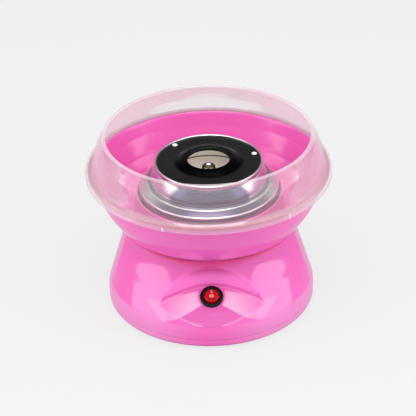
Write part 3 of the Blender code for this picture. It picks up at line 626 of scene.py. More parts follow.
def lathe(name, outline, material, steps=96, corner=0.3, at=(0, 0, 0), turn=None,
          sharp=35, longest=None, ripple=None):
    """Revolves an outline of (radius, height) points about Z. It is open only when both its
    ends are on the axis. ripple moves each vertex before the piece is turned and placed."""
    closed = not (outline[0][0] == 0 and outline[-1][0] == 0)
    outline = soften(outline, corner, closed)
    if longest:
        outline = split_long(outline, longest, closed)
    bm = bmesh.new()
    rings = []
    for r, z in outline:
        if r < 1e-9:
            rings.append([bm.verts.new((0, 0, z * MM))])
        else:
            rings.append(flat_ring(bm, r, z, steps))
    pairs = list(zip(rings, rings[1:]))
    if closed:
        pairs.append((rings[-1], rings[0]))
    for a, b in pairs:
        for i in range(steps):
            j = (i + 1) % steps
            if len(a) == 1 and len(b) == 1:
                continue
            if len(a) == 1:
                bm.faces.new((a[0], b[i], b[j]))
            elif len(b) == 1:
                bm.faces.new((a[i], b[0], a[j]))
            else:
                bm.faces.new((a[i], b[i], b[j], a[j]))
    if ripple:
        for v in bm.verts:
            v.co = ripple(v.co)
    placing = Matrix.Translation([c * MM for c in at])
    if turn is not None:
        placing = placing @ turn
    bm.transform(placing)
    return make_object(name, bm, material, sharp)


def shift(x, y, z):
    return Matrix.Translation((x * MM, y * MM, z * MM))


def polar(radius, degrees, z=0.0):
    angle = math.radians(degrees)
    return (radius * math.cos(angle), radius * math.sin(angle), z)


def polar_shift(radius, degrees, z=0.0):
    return Matrix.Translation(Vector(polar(radius, degrees, z)) * MM)


def polar_frame(radius, degrees, z):
    """A frame out on a circle, its x axis pointing away from the spin axis."""
    return polar_shift(radius, degrees, z) @ Matrix.Rotation(math.radians(degrees), 4, "Z")


def rod(radius, z0, z1, steps, frame):
    bm = bmesh.new()
    bmesh.ops.create_cone(
        bm, cap_ends=True, segments=steps, radius1=radius * MM, radius2=radius * MM,
        depth=(z1 - z0) * MM,
    )
    bm.transform(frame @ Matrix.Translation((0, 0, (z0 + z1) / 2 * MM)))
    return bm


def rods(radius, z0, z1, steps, circle_r, angles):
    """Upright rods spread on a circle."""
    return [rod(radius, z0, z1, steps, polar_shift(circle_r, a)) for a in angles]


def leg_rods(radius, z0, z1, steps, y=LEG_Y):
    """Upright rods at both legs of the heating element."""
    return [rod(radius, z0, z1, steps, shift(side * LEG_X, y, 0)) for side in (-1, 1)]


def box(size, frame, bevel=0.0):
    bm = bmesh.new()
    bmesh.ops.create_cube(bm, size=1.0)
    bmesh.ops.scale(bm, vec=[s * MM for s in size], verts=bm.verts)
    if bevel:
        bmesh.ops.bevel(
            bm, geom=list(bm.edges), offset=bevel * MM, segments=2, affect="EDGES", profile=0.5
        )
    bm.transform(frame)
    return bm


def merge(parts):
    """Puts several bmeshes into one."""
    whole = bmesh.new()
    for part in parts:
        mesh = bpy.data.meshes.new("part")
        part.to_mesh(mesh)
        part.free()
        whole.from_mesh(mesh)
        bpy.data.meshes.remove(mesh)
    return whole


def cut(obj, cutters, operation="DIFFERENCE", sharp=30):
    """Applies a boolean with each cutter bmesh in turn."""
    for bm in cutters:
        bmesh.ops.recalc_face_normals(bm, faces=bm.faces)
        mesh = bpy.data.meshes.new("cutter")
        bm.to_mesh(mesh)
        bm.free()
        cutter = bpy.data.objects.new("cutter", mesh)
        SCENE.collection.objects.link(cutter)
        modifier = obj.modifiers.new("cut", "BOOLEAN")
        modifier.operation = operation
        modifier.solver = "EXACT"
        modifier.object = cutter
        bpy.context.view_layer.update()
        depsgraph = bpy.context.evaluated_depsgraph_get()
        result = bpy.data.meshes.new_from_object(obj.evaluated_get(depsgraph))
        obj.modifiers.clear()
        old = obj.data
        obj.data = result
        bpy.data.meshes.remove(old)
        bpy.data.objects.remove(cutter, do_unlink=True)
        bpy.data.meshes.remove(mesh)
    obj.data.shade_smooth()
    obj.data.set_sharp_from_angle(angle=math.radians(sharp))
    return obj


def tube(name, points, radius, material, steps):
    """A round tube along points, its ends chamfered."""
    points = [Vector(p) for p in points]
    last = len(points) - 1
    tangents = [
        (points[min(i + 1, last)] - points[max(i - 1, 0)]).normalized()
        for i in range(len(points))
    ]
    up = Vector((0, 0, 1)) if abs(tangents[0].z) < 0.9 else Vector((1, 0, 0))
    side = tangents[0].cross(up).normalized()
    axes = []
    for tangent in tangents:
        side = (side - tangent * side.dot(tangent)).normalized()
        axes.append((side, tangent.cross(side)))
    bm = bmesh.new()

    def ring(centre, pair, r):
        s, u = pair
        return [
            bm.verts.new((centre + (s * math.cos(TAU * i / steps)
                                    + u * math.sin(TAU * i / steps)) * r) * MM)
            for i in range(steps)
        ]

    chamfer = radius * 0.25
    rings = [
        ring(points[0], axes[0], radius - chamfer),
        ring(points[0] + tangents[0] * chamfer, axes[0], radius),
    ]
    for centre, pair in list(zip(points, axes))[1:-1]:
        rings.append(ring(centre, pair, radius))
    rings.append(ring(points[-1] - tangents[-1] * chamfer, axes[-1], radius))
    rings.append(ring(points[-1], axes[-1], radius - chamfer))
    bridge(bm, rings)
    bm.faces.new(rings[0])
    bm.faces.new(rings[-1])
    return make_object(name, bm, material, 40)


def smooth_path(points):
    """Catmull-Rom curve through points."""
    points = [Vector(p) for p in points]
    last = len(points) - 1
    out = []
    for i in range(last):
        p0, p1 = points[max(i - 1, 0)], points[i]
        p2, p3 = points[i + 1], points[min(i + 2, last)]
        steps = max(1, int(8 * min(1.0, (p2 - p1).length / 4)))
        for j in range(steps):
            t = j / steps
            out.append(0.5 * (
                (2 * p1) + (p2 - p0) * t + (2 * p0 - 5 * p1 + 4 * p2 - p3) * t * t
                + (3 * p1 - p0 - 3 * p2 + p3) * t**3
            ))
    out.append(points[-1])
    return out


def rounded_path(corners, radius):
    """Straight runs between corners, joined by curves of eight steps."""
    out = [Vector(corners[0])]
    for a, b, c in zip(corners, corners[1:], corners[2:]):
        a, b, c = Vector(a), Vector(b), Vector(c)
        trim = min(radius, (a - b).length * 0.45, (c - b).length * 0.45)
        start = b + (a - b).normalized() * trim
        end = b + (c - b).normalized() * trim
        for i in range(9):
            t = i / 8
            out.append(start * (1 - t) ** 2 + b * 2 * t * (1 - t) + end * t * t)
    out.append(Vector(corners[-1]))
    return out


# ================================================================ base shell
# Stations of the shell's outside: (height, radius or distance ahead of the axis).
SKIRT = [(SHELL_BOTTOM, SKIRT_R), (15.0, 107.2), (20.5, 106.6), (SKIRT_TOP, 105.0)]
APRON = [
    (26.0, 105.1), (31.0, 101.6), (36.0, 98.0), (41.6, 93.9), (48.0, 89.1), (55.0, 84.2),
    (61.6, 79.2), (67.6, 75.0), (72.2, 72.7), (77.0, 72.6), (84.0, 74.5), (96.2, 79.0),
]
WALL = [
    (20.0, 66.5), (44.0, 65.8), (51.0, 65.9), (55.0, 66.1), (61.6, 66.6), (67.6, 68.2),
    (72.2, 70.4), (77.0, 72.6), (82.0, 76.0), (88.0, 82.0), (96.2, 92.0),
]
CONE_SLOPE = 0.30
CREASE_Y = 19.0                       # the apron meets the cone this far ahead of the axis
FLAT_FROM = 46.0                      # from this x out to the crease the apron is flattened
FLAT_DEPTH = 18.0
FACET_TURN = math.radians(32)         # where the floor's side facets start, below level
FACET_FALL = math.radians(5.5)        # how far they fall away
SEAT_R = 14.0                         # flat round seat of the switch
SEAT_EDGE = 2.0


def curve_at(x, points):
    """Height at x of a smooth curve through points."""
    count = len(points)
    x = min(max(x, points[0][0]), points[-1][0])
    i = max(k for k in range(count - 1) if points[k][0] <= x + 1e-12)

    def slope(k):
        a, b = points[max(k - 1, 0)], points[min(k + 1, count - 1)]
        return (b[1] - a[1]) / (b[0] - a[0])

    (x0, y0), (x1, y1) = points[i], points[i + 1]
    h = x1 - x0
    t = (x - x0) / h
    start = (2 * t**3 - 3 * t**2 + 1) * y0 + (t**3 - 2 * t**2 + t) * h * slope(i)
    return start + (-2 * t**3 + 3 * t**2) * y1 + (t**3 - t**2) * h * slope(i + 1)


def cone_r(z):
    if z <= SKIRT_TOP:
        return curve_at(z, SKIRT)
    return SKIRT[-1][1] - CONE_SLOPE * (z - SKIRT_TOP)


def smooth_min(a, b, width):
    overlap = max(width - abs(a - b), 0.0) / width
    return min(a, b) - overlap * overlap * width * 0.25


# The functions below look from the axis in the direction (side, -ahead), a unit vector.
def apron_r(side, ahead, z, cone):
    """Radius of the scooped front: in plan an arc, flattened on both sides."""
    middle = curve_at(z, APRON)
    depth = cone - middle
    if depth <= 0:
        return cone + 1.0
    half2 = cone * cone - CREASE_Y**2
    behind = (half2 + CREASE_Y**2 - middle * middle) / (2 * middle - 2 * CREASE_Y)
    arc = middle + behind
    flat_run = math.sqrt(half2) - FLAT_FROM
    flat = FLAT_DEPTH * min(1.0, depth / 9.0)
    r = -behind * ahead + math.sqrt(max(arc * arc - (behind * side) ** 2, 0))
    # Newton steps towards the flattened curve.
    for _ in range(6):
        x = abs(r * side)
        t = min(max((x - FLAT_FROM) / flat_run, 0.0), 1.0)
        root = math.sqrt(max(arc * arc - x * x, 1.0))
        bend = flat * (2 * t - 3 * t * t) / flat_run if 0 < t < 1 else 0.0
        error = r * ahead - (root - behind - flat * t * t * (1 - t))
        r -= error / (ahead + abs(side) * (x / root + bend))
    return r


def floor_r(side, ahead, z):
    """Radius of the recess's floor: a flat middle with a facet falling away on each side."""
    c, s = math.cos(FLOOR_TILT), math.sin(FLOOR_TILT)
    at_y, at_z = SWITCH_AT.y + 0.12, SWITCH_AT.z
    middle = (-at_y * c + at_z * s - s * z) / (c * ahead)
    turn_c, turn_s = math.cos(FACET_TURN), math.sin(FACET_TURN)
    fall_c, fall_s = math.cos(FACET_FALL), math.sin(FACET_FALL)
    normal_x = -fall_s * turn_s
    normal_y = -fall_c * c + fall_s * turn_c * s
    normal_z = fall_c * s + fall_s * turn_c * c
    facet_y, facet_z = at_y - 3.0 * s, at_z - 3.0 * c
    height = normal_y * facet_y + normal_z * facet_z - normal_z * z
    return min(middle, height / (normal_x * -abs(side) - normal_y * ahead))


def base_r(side, ahead, z):
    """Radius of the base's outside: the cone, the apron cut into its front and the recess
    cut into the apron, which has a bent upright wall over a sloping floor."""
    cone = cone_r(z)
    if z <= SKIRT_TOP or ahead < 0.02:
        return cone
    r = smooth_min(cone, apron_r(side, ahead, z, cone), 0.5)
    bend = side * side / WALL_BEND
    wall = curve_at(z, WALL)
    root = ahead * ahead - 4 * bend * wall
    if root < 0:
        return r
    wall_r = wall / ahead if bend < 1e-9 else (ahead - math.sqrt(root)) / (2 * bend)
    recess = -smooth_min(-wall_r, -floor_r(side, ahead, z), 3.0)
    return smooth_min(r, recess, 0.7)


def flatten_seat(ring):
    """Moves the points near the switch onto the plane of its flat round seat."""
    inverse = SWITCH_FRAME.inverted()
    for i, point in enumerate(ring):
        q = inverse @ (point * MM)
        distance = math.hypot(q.x, q.y) / MM
        if distance < SEAT_R and -0.0028 < q.z < 0.0014:
            weight = min(max((SEAT_R - distance) / SEAT_EDGE, 0), 1)
            weight = weight * weight * (3 - 2 * weight)
            q.z *= 1 - weight
            ring[i] = (SWITCH_FRAME @ q) / MM


def build_base_shell():
    # Columns are angles from the front, close together all over the front half.
    columns = [math.radians(-88 + 176 * i / 400) for i in range(401)]
    columns += [math.radians(88 + 184 * i / 72) for i in range(1, 72)]
    heights = [11.55, 11.9, 13, 15, 17, 19, 21, 23, 24.4, 25.2, 25.7, SKIRT_TOP]
    z = SKIRT_TOP
    while z < 84:
        z += 0.45 if z < 48 else 0.8
        heights.append(z)
    heights += [86.5, 89.5, 92.5, 94.6, 95.4]

    def ring(z, inset=0.0, look_up=0.0, top=DECK_Z):
        """The outside at the height z + look_up, at most top, moved in and drawn at z."""
        out = []
        for angle in columns:
            side, ahead = math.sin(angle), math.cos(angle)
            r = base_r(side, ahead, min(z + look_up, top)) - inset
            out.append(Vector((r * side, -r * ahead, z)))
        return out

    outside = [ring(11.4, 0.16)] + [ring(z) for z in heights]
    for points in outside:
        flatten_seat(points)
    inner_wall = TOWER_R - 2.4
    tower_and_deck = [  # (radius, height)
        (TOWER_R + 0.8, DECK_Z), (TOWER_R + 0.2, DECK_Z + 0.3), (TOWER_R, DECK_Z + 0.9),
        (TOWER_R, 110), (TOWER_R, TOWER_TOP - 1.1), (TOWER_R - 0.3, TOWER_TOP - 0.35),
        (TOWER_R - 0.9, TOWER_TOP), (TOWER_R - 1.9, TOWER_TOP),
        (TOWER_R - 2.3, TOWER_TOP - 0.3), (inner_wall, TOWER_TOP - 0.9), (inner_wall, 110),
        (inner_wall, DECK_Z), (52.6, DECK_Z), (52.1, DECK_Z - 0.2), (52.0, DECK_Z - 0.6),
        (52.0, 94.2), (52.2, 93.7), (52.6, 93.6),
    ]
    inside = (
        93.4, 88.0, 82.0, 77.0, 72.0, 66.0, 60.0, 54.0, 50.0, 47.0, 44.0, 40.0, 36.0, 33.0,
        30.0, 27.5, 25.0, 21.0, 16.0, 11.7,
    )
    rings = [ring(SHELL_BOTTOM, 0.45)] + outside + [ring(95.9, 0.35), ring(DECK_Z, 1.0)]
    rings += [
        [Vector((r * math.sin(a), -r * math.cos(a), z)) for a in columns]
        for r, z in tower_and_deck
    ]
    # The inside is the outside moved in and down, so that slopes keep their thickness.
    rings += [ring(z, inset=2.4, look_up=1.6, top=96.0) for z in inside]
    rings.append(ring(SHELL_BOTTOM, 2.2))
    bm = bmesh.new()
    made = [[bm.verts.new(point * MM) for point in points] for points in rings]
    bridge(bm, made, closed=True)
    return make_object("base_shell", bm, PINK, 40)


shell = build_base_shell()
# Holes for the switch, the cord and the posts, then lugs for the cover screws.
cut(
    shell,
    [rod(10.1, -14, 6, 64, SWITCH_FRAME), rod(5.4, -8, 8, 48, shift(0, 103, CORD_Z) @ ALONG_Y)]
    + rods(2.2, 90, 99, 32, POST_R, POST_ANGLES + PLATE_ANGLES),
    sharp=40,
)
lugs = [box((16.0, 9.0, 9.1), polar_frame(97.5, deg, 15.95), 0.6) for deg in SCREW_ANGLES]
cut(shell, lugs, "UNION", sharp=40)
cut(shell, rods(1.7, 8, 18.6, 24, SCREW_R, SCREW_ANGLES), sharp=40)
fit(shell)


# ---------------------------------------------------------------- bottom cover and feet
# Every outline from here on is a table of (radius, height) points.
def vent_slot(degrees):
    """Cutter for a round-ended slot that runs outwards from the middle."""
    outline = []
    for side, half_turn in ((1, 0.0), (-1, math.pi)):
        for i in range(9):
            t = math.pi * (i / 8 - 0.5) + half_turn
            outline.append((side * 10.0 + 2.0 * math.cos(t), 2.0 * math.sin(t)))
    bm = bmesh.new()
    rings = [[bm.verts.new((x * MM, y * MM, z * MM)) for x, y in outline] for z in (-4, 4)]
    bridge(bm, rings)
    cap_ends(bm, rings)
    bm.transform(polar_frame(40, degrees, 4.0))
    return bm


cover = lathe(
    "bottom_cover",
    [
        (0, FOOT_H), (104.2, FOOT_H), (106.2, 3.6), (SKIRT_R - 0.05, 5.8), (SKIRT_R, 11.15),
        (104.7, 11.15), (104.7, 6.0), (103.7, 5.0), (0, 5.0),
    ],
    PINK, steps=256, corner=lambda p: 0.8 if p.y < 6 and p.x > 100 else 0.35,
)
cut(
    cover,
    [vent_slot(36.0 * (k + 0.5)) for k in range(10)]
    + rods(3.4, 0, 8, 32, FOOT_R, FOOT_ANGLES.values())
    + rods(1.9, 0, 8, 24, SCREW_R, SCREW_ANGLES),
)
fit(cover)

FOOT = [
    (0, 1.1), (9.8, 0.35), (10.2, 0.0), (13.2, 0.0), (13.2, 0.6), (7.0, 2.2), (3.0, 2.2),
    (3.0, 5.4), (4.4, 5.6), (4.4, 6.4), (2.6, 8.4), (0, 8.4),
]
for name, deg in FOOT_ANGLES.items():
    fit(lathe(name, FOOT, RUBBER, steps=64, corner=0.25, at=polar(FOOT_R, deg)))

COVER_SCREW = [(0, 1.9), (0.7, 1.9), (1.0, 0.75), (2.6, 0.9), (3.2, 1.6), (3.2, 2.2), (1.5, 2.2)]
COVER_SCREW += [(1.25 if i % 2 else 1.5, 3.2 + 0.6 * i) for i in range(22)]     # thread
COVER_SCREW += [(0.9, 17.0), (0, 18.2)]
for k, deg in enumerate(SCREW_ANGLES, 1):
    fit(lathe(f"cover_screw_{k}", COVER_SCREW, STEEL, steps=32, corner=0.1,
              at=polar(SCREW_R, deg)))

# ---------------------------------------------------------------- floss bowl
BOWL = [
    (73.8, 96.6), (90.0, 96.6), (93.6, 97.5), (96.2, 100.4), (98.9, 104.5), (103.1, 110.7),
    (107.7, 118.5), (111.9, 128.2), (116.0, 138.4), (119.4, 147.0), (120.4, 148.4),
    (122.5, 148.8), (122.7, 151.2), (121.9, 152.6), (118.9, 152.8), (117.5, 151.4),
    (113.7, 138.8), (109.6, 128.8), (105.4, 119.4), (101.0, 112.0), (97.0, 106.2),
    (93.6, 102.2), (89.6, 99.6), (80.6, 99.2), (77.2, 101.2), (76.2, 104.8), (75.2, 124.8),
    (74.2, 126.2), (73.0, 125.4), (72.6, 98.0),
]


def bowl_corner(p):
    if p.y > 146:
        return 1.6
    if p.x > 98:
        return 9.0
    return 3.0 if 76 < p.x <= 98 and p.y < 108 else 0.9


fit(lathe("floss_bowl", BOWL, PINK, steps=288, corner=bowl_corner, longest=4.0, sharp=40), "bowl")

# ---------------------------------------------------------------- splash guard
GUARD = [
    (125.0, 146.4), (125.0, 151.6), (124.4, 153.6), (122.8, 154.7), (119.2, 154.8),
    (118.2, 156.3), (117.4, 161.0), (116.0, 168.2), (113.1, 176.6), (109.6, 183.4),
    (107.1, 187.0), (106.6, 189.2), (104.8, 190.38), (103.1, 189.3), (103.0, 187.5),
    (104.8, 186.2), (107.9, 182.4), (111.5, 175.8), (114.4, 167.8), (115.8, 160.8),
    (116.6, 156.2), (117.4, 153.2), (122.4, 153.2), (123.4, 151.8), (123.5, 146.4),
]
LIP_SLOTS = [270 - 21.5 + 60 * k for k in range(6)]
LIP_SLOT_Z = 147.9


def guard_corner(p):
    if p.y < 153.4:
        return 0.5
    if p.y > 186:
        return 1.0
    return 1.2 if p.y < 155.4 else 6.0


guard = lathe("splash_guard", GUARD, CLEAR, steps=360, corner=guard_corner, longest=4.0, sharp=40)
slots = [box((6.0, 1.3, 4.6), polar_frame(124.4, deg, LIP_SLOT_Z)) for deg in LIP_SLOTS]
cut(guard, slots, sharp=40)
fit(guard, "guard")
for k, deg in enumerate(LIP_SLOTS, 1):
    rib = box((1.25, 1.05, 4.4), polar_frame(124.3, deg, LIP_SLOT_Z), 0.15)
    fit(make_object(f"lip_rib_{k}", rib, RIB), "guard", replaces=False)

# ---------------------------------------------------------------- heater
PAN = [
    (13.0, 110.0), (60.7, 110.0), (61.9, 111.2), (61.9, 134.2), (63.3, 135.5), (69.7, 130.5),
    (69.7, 127.0), (70.9, 127.0), (70.9, 131.3), (63.6, 137.0), (62.2, 136.9), (60.6, 135.2),
    (60.6, 112.2), (59.8, 111.2), (13.0, 111.2),
]
pan = lathe("heater_pan", PAN, ALU_PAN, steps=192, corner=lambda p: 0.9 if p.y > 129 else 0.4,
            longest=6.0)
cut(pan, leg_rods(6.3, 108, 113, 40, y=ELEMENT_R - 0.9)
    + rods(2.2, 108, 113, 24, POST_R, POST_ANGLES))
fit(pan)


def element_path():
    """Up one leg at the back, round the ring and down the other leg."""
    start = math.asin(LEG_X / ELEMENT_R)
    ring = []
    for i in range(97):
        a = math.pi / 2 + start + (TAU - 2 * start) * i / 96
        ring.append((ELEMENT_R * math.cos(a), ELEMENT_R * math.sin(a), ELEMENT_Z))
    leg = [(0.0, 88.0), (0.0, 100.0), (0.0, 112.0), (0.2, 115.0), (1.2, 117.2)]  # (outwards, z)
    head = [(-LEG_X - outwards, LEG_Y, z) for outwards, z in leg]
    tail = [(-x, y, z) for x, y, z in reversed(head)]
    return head + ring[2:-2] + tail


fit(tube("heating_element", element_path(), 2.95, STEEL, steps=20))
BUSH = [(3.5, 105.6), (5.9, 105.6), (5.9, 112.4), (3.5, 112.4)]
for k, side in enumerate((-1, 1), 1):
    fit(lathe(f"ceramic_bush_{k}", BUSH, CERAMIC, steps=48, corner=0.5,
              at=(side * LEG_X, LEG_Y, 0)))
shield = lathe(
    "heat_shield",
    [
        (8.0, 96.5), (20, 96.5), (21, 96.8), (40, 96.8), (41, 96.5), (65.4, 96.5),
        (65.4, 97.5), (8.0, 97.5),
    ],
    STEEL, steps=128, longest=8,
)
cut(shield, leg_rods(4.6, 95, 99, 32) + rods(2.2, 95, 99, 24, POST_R, POST_ANGLES))
fit(shield)
STANDOFF = [
    (0, 88.5), (1.3, 88.6), (1.7, 89.2), (1.7, 97.8), (4.2, 97.8), (4.2, 109.7), (1.7, 109.7),
    (1.7, 111.5), (2.8, 111.5), (2.6, 112.8), (1.2, 113.4), (0, 113.4),
]
for k, deg in enumerate(POST_ANGLES, 1):
    fit(lathe(f"pan_standoff_{k}", STANDOFF, STEEL, steps=40, corner=0.25,
              at=polar(POST_R, deg)))
fit(lathe(
    "thermostat",
    [
        (0, 101.4), (5.0, 101.4), (5.0, 104.2), (8.2, 104.2), (8.2, 109.6), (6.6, 109.6),
        (6.4, 109.2), (0, 109.2),
    ],
    BLACK, steps=48, corner=0.4, at=(-32, -14, 0),
))

# ---------------------------------------------------------------- motor
plate = lathe("motor_plate", [(7.0, 86.4), (63.0, 86.4), (63.0, 88.0), (7.0, 88.0)], STEEL,
              steps=128, corner=0.4, longest=8)
cut(plate, rods(2.1, 85, 90, 24, POST_R, PLATE_ANGLES) + rods(4.0, 85, 90, 24, POST_R, POST_ANGLES)
    + [box((30.0, 13.0, 6.0), shift(0, LEG_Y - 1.5, 87.2))])
fit(plate)
DAMPER = [
    (2.2, 88.3), (5.6, 88.3), (5.6, 89.8), (4.6, 90.4), (4.6, 91.2), (5.6, 91.8), (5.6, 93.3),
    (2.2, 93.3),
]
PLATE_SCREW = [
    (0, 84.2), (1.0, 84.2), (1.4, 83.6), (2.2, 83.7), (3.3, 84.6), (3.3, 86.1), (1.7, 86.1),
    (1.7, 95.6), (0, 95.9),
]
for k, deg in enumerate(PLATE_ANGLES, 1):
    place = polar(POST_R, deg)
    fit(lathe(f"motor_damper_{k}", DAMPER, RUBBER, steps=40, at=place))
    fit(lathe(f"plate_screw_{k}", PLATE_SCREW, STEEL, steps=32, corner=0.15, at=place))
fit(lathe(
    "motor_can",
    [
        (4.6, 81.0), (16.9, 81.0), (16.9, 36.0), (18.0, 36.0), (18.0, 84.4), (16.4, 86.0),
        (6.2, 86.0), (6.2, 89.6), (4.6, 89.6),
    ],
    STEEL, corner=0.5, longest=6,
))
fit(lathe("bearing_upper", [(3.1, 82.0), (4.3, 82.0), (4.3, 89.2), (3.1, 89.2)], BRASS, steps=48))
fit(lathe(
    "motor_end_cap",
    [
        (4.6, 32.0), (14.0, 32.0), (17.6, 34.0), (17.6, 35.7), (16.5, 35.7), (16.5, 38.0),
        (4.6, 38.0),
    ],
    BLACK, corner=0.5,
))
fit(lathe("bearing_lower", [(3.1, 32.4), (4.3, 32.4), (4.3, 37.8), (3.1, 37.8)], BRASS, steps=48))
fit(lathe("motor_magnet", [(13.2, 45.0), (16.6, 45.0), (16.6, 76.0), (13.2, 76.0)], MAGNET,
          corner=0.5))


def windings(co):
    """Gives the armature its slots, with bundles between them, and grooves its low end."""
    r = math.hypot(co.x, co.y) / MM
    z = co.z / MM
    a = math.atan2(co.y, co.x)
    if r > 6.5 and 45 < z < 76:
        wave = 0.5 + 0.5 * math.cos(5 * a)
        at_end = z < 47.5 or z > 73.5
        s = (r - (0.5 * wave if at_end else 0.9 * wave**3)) / r
        return Vector((co.x * s, co.y * s, co.z))
    if 3.6 < r and z < 45.4:
        s = 1 - 0.05 * (0.5 + 0.5 * math.cos(10 * a)) ** 6
        return Vector((co.x * s, co.y * s, co.z))
    return co


fit(lathe(
    "motor_armature",
    [
        (3.3, 39.0), (5.6, 39.0), (5.6, 45.4), (11.2, 46.2), (12.3, 47.4), (12.3, 73.6),
        (11.2, 75.0), (3.3, 75.0),
    ],
    COPPER, steps=120, corner=0.6, longest=1.2, ripple=windings,
), "rotor")

SHAFT_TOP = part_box("motor_shaft")[1][2] / MM
shaft = lathe(
    "motor_shaft",
    [
        (0, 30.6), (2.5, 30.6), (3.0, 31.1), (3.0, SHAFT_TOP - 3.0), (2.7, SHAFT_TOP - 1.6),
        (1.7, SHAFT_TOP - 0.4), (0, SHAFT_TOP),
    ],
    STEEL, steps=64, corner=0.8, longest=6,
)
cut(shaft, [rod(1.5, -6, 6, 24, shift(0, 0, PIN_Z) @ ALONG_X)])
fit(shaft, "rotor")
fit(lathe(
    "drive_pin",
    [(0, -7.2), (0.8, -7.2), (1.2, -6.8), (1.2, 6.8), (0.8, 7.2), (0, 7.2)],
    STEEL, steps=32, corner=0.1, at=(0, 0, PIN_Z), turn=ALONG_X,
), "rotor")

# ---------------------------------------------------------------- sugar head
RIVET_R = 48.3
RIVET_ANGLES = (15.0, 135.0, 255.0)
RIVET_HOLE_R = 1.7
top_plate = lathe(
    "head_top_plate",
    [
        (52.4, 156.0), (52.4, 157.3), (36.5, 157.3), (33.0, 158.0), (28.4, 160.3),
        (25.2, 161.4), (22.8, 161.2), (21.3, 159.9), (21.0, 157.6), (22.3, 157.6),
        (22.6, 159.3), (23.6, 159.9), (25.0, 159.9), (27.6, 159.0), (32.4, 156.7),
        (36.2, 156.0),
    ],
    COAT, steps=256, corner=lambda p: 0.25 if p.x > 50 else 2.5, longest=1.5, sharp=45,
)
cut(top_plate, rods(RIVET_HOLE_R, 154, 160, 24, RIVET_R, RIVET_ANGLES), sharp=45)
fit(top_plate, "head")

# Raised bars on the back of the plate.
dashes = [box((1.1, 3.2, 0.5), polar_frame(44.4, 62 + 7.0 * i, 157.45), 0.18) for i in range(9)]
fit(make_object("head_plate_dashes", merge(dashes), COAT, 40), "head", replaces=False)
fit(lathe(
    "head_rim_ring",
    [
        (52.9, 155.7), (52.9, 158.3), (53.9, 158.8), (54.8, 157.9), (54.8, 154.6),
        (51.7, 154.6), (51.7, 155.7),
    ],
    ALU, steps=256, corner=0.5,
), "head")
fit(lathe(
    "head_cup",
    [
        (58.0, 134.4), (59.2, 134.4), (59.6, 135.2), (59.2, 136.2), (59.2, 141.6),
        (58.9, 143.0), (54.9, 152.0), (54.2, 153.2), (52.6, 153.2), (53.4, 151.8),
        (57.7, 142.6), (58.0, 141.4),
    ],
    ALU_CUP, steps=256, corner=0.5, longest=3,
), "head")
head_floor = lathe(
    "head_floor",
    [(8.3, 139.0), (57.7, 139.0), (57.7, 140.6), (56.4, 140.2), (8.3, 140.2)],
    ALU_INSIDE, steps=192, longest=5,
)
cut(head_floor, rods(RIVET_HOLE_R, 137, 142, 24, RIVET_R, RIVET_ANGLES))
fit(head_floor, "head")

hub = lathe(
    "head_hub",
    [
        (3.2, 129.4), (8.0, 129.4), (8.0, 137.2), (12.0, 137.2), (12.0, 138.7), (8.0, 138.7),
        (8.0, 144.6), (7.0, 145.0), (7.0, 151.0), (6.0, 152.4), (3.2, 152.4),
    ],
    HUB, corner=0.4, longest=4,
)
# A slot across the bottom for the drive pin and six notches in the top.
cut(hub, [box((20.0, 3.2, 5.0), shift(0, 0, 131))] + [
    box((3.4, 2.2, 5.0), Matrix.Rotation(TAU * (k + 0.5) / 6, 4, "Z") @ shift(6.6, 0, 150.4))
    for k in range(6)
])
fit(hub, "head")


def hub_nut():
    bm = bmesh.new()
    outline = ((11.6, 140.6), (12.6, 141.2), (12.6, 143.6), (11.2, 144.4))
    rings = [flat_ring(bm, r, z, 6) for r, z in outline]
    bridge(bm, rings)
    cap_ends(bm, rings)
    bmesh.ops.bevel(
        bm, geom=list(bm.edges), offset=0.3 * MM, segments=2, affect="EDGES", profile=0.5
    )
    nut = make_object("hub_nut", bm, HUB)
    return cut(nut, [rod(8.3, 139, 146, 64, Matrix.Identity(4))])


fit(hub_nut(), "head")
HEAD_RIVET = [
    (0, 137.6), (2.2, 137.7), (2.2, 138.7), (1.4, 138.7), (1.4, 140.5), (2.4, 140.5),
    (2.4, 155.7), (1.4, 155.7), (1.4, 157.6), (2.75, 157.6), (2.6, 158.3), (1.6, 158.9),
    (0, 159.0),
]
front_rivet = min(RIVET_ANGLES, key=lambda deg: math.sin(math.radians(deg)))
for k, deg in enumerate(RIVET_ANGLES, 1):
    # The front rivet is coated like the plate.
    finish = COAT if deg == front_rivet else RIVET
    rivet = lathe(f"head_rivet_{k}", HEAD_RIVET, finish, steps=48, at=polar(RIVET_R, deg))
    fit(rivet, "head")

# ---------------------------------------------------------------- rocker switch
housing = lathe(
    "switch_housing",
    [
        (0, -13.0), (9.8, -13.0), (9.8, 0.35), (11.6, 0.35), (11.9, 0.8), (11.7, 1.6),
        (11.0, 2.3), (9.0, 2.4), (8.0, 1.9), (7.9, 0.8), (7.9, -8.0), (0, -8.0),
    ],
    BLACK, steps=128, corner=0.45, longest=3, sharp=40,
)
housing.data.transform(SWITCH_FRAME)
cut(housing, [rod(1.15, -12, 12, 24, SWITCH_FRAME @ ALONG_X)], sharp=40)
fit(housing)
TERMINAL_X = 5.5
for k, x in enumerate((-TERMINAL_X, TERMINAL_X), 1):
    blade = box((0.9, 5.0, 8.0), SWITCH_FRAME @ shift(x, 0, -17.4), 0.2)
    terminal = make_object(f"switch_terminal_{k}", blade, BRASS)
    cut(terminal, [rod(0.9, -3, 3, 16, SWITCH_FRAME @ shift(x, 0, -19.0) @ ALONG_X)])
    fit(terminal)

FACE_TILT = math.atan(0.195)


def rocker_face(y):
    """Height of the rocker's face: two slopes up from the middle, rounded where they meet."""
    return 2.1 + 0.20 * (math.sqrt(y * y + 0.5) - 0.25)


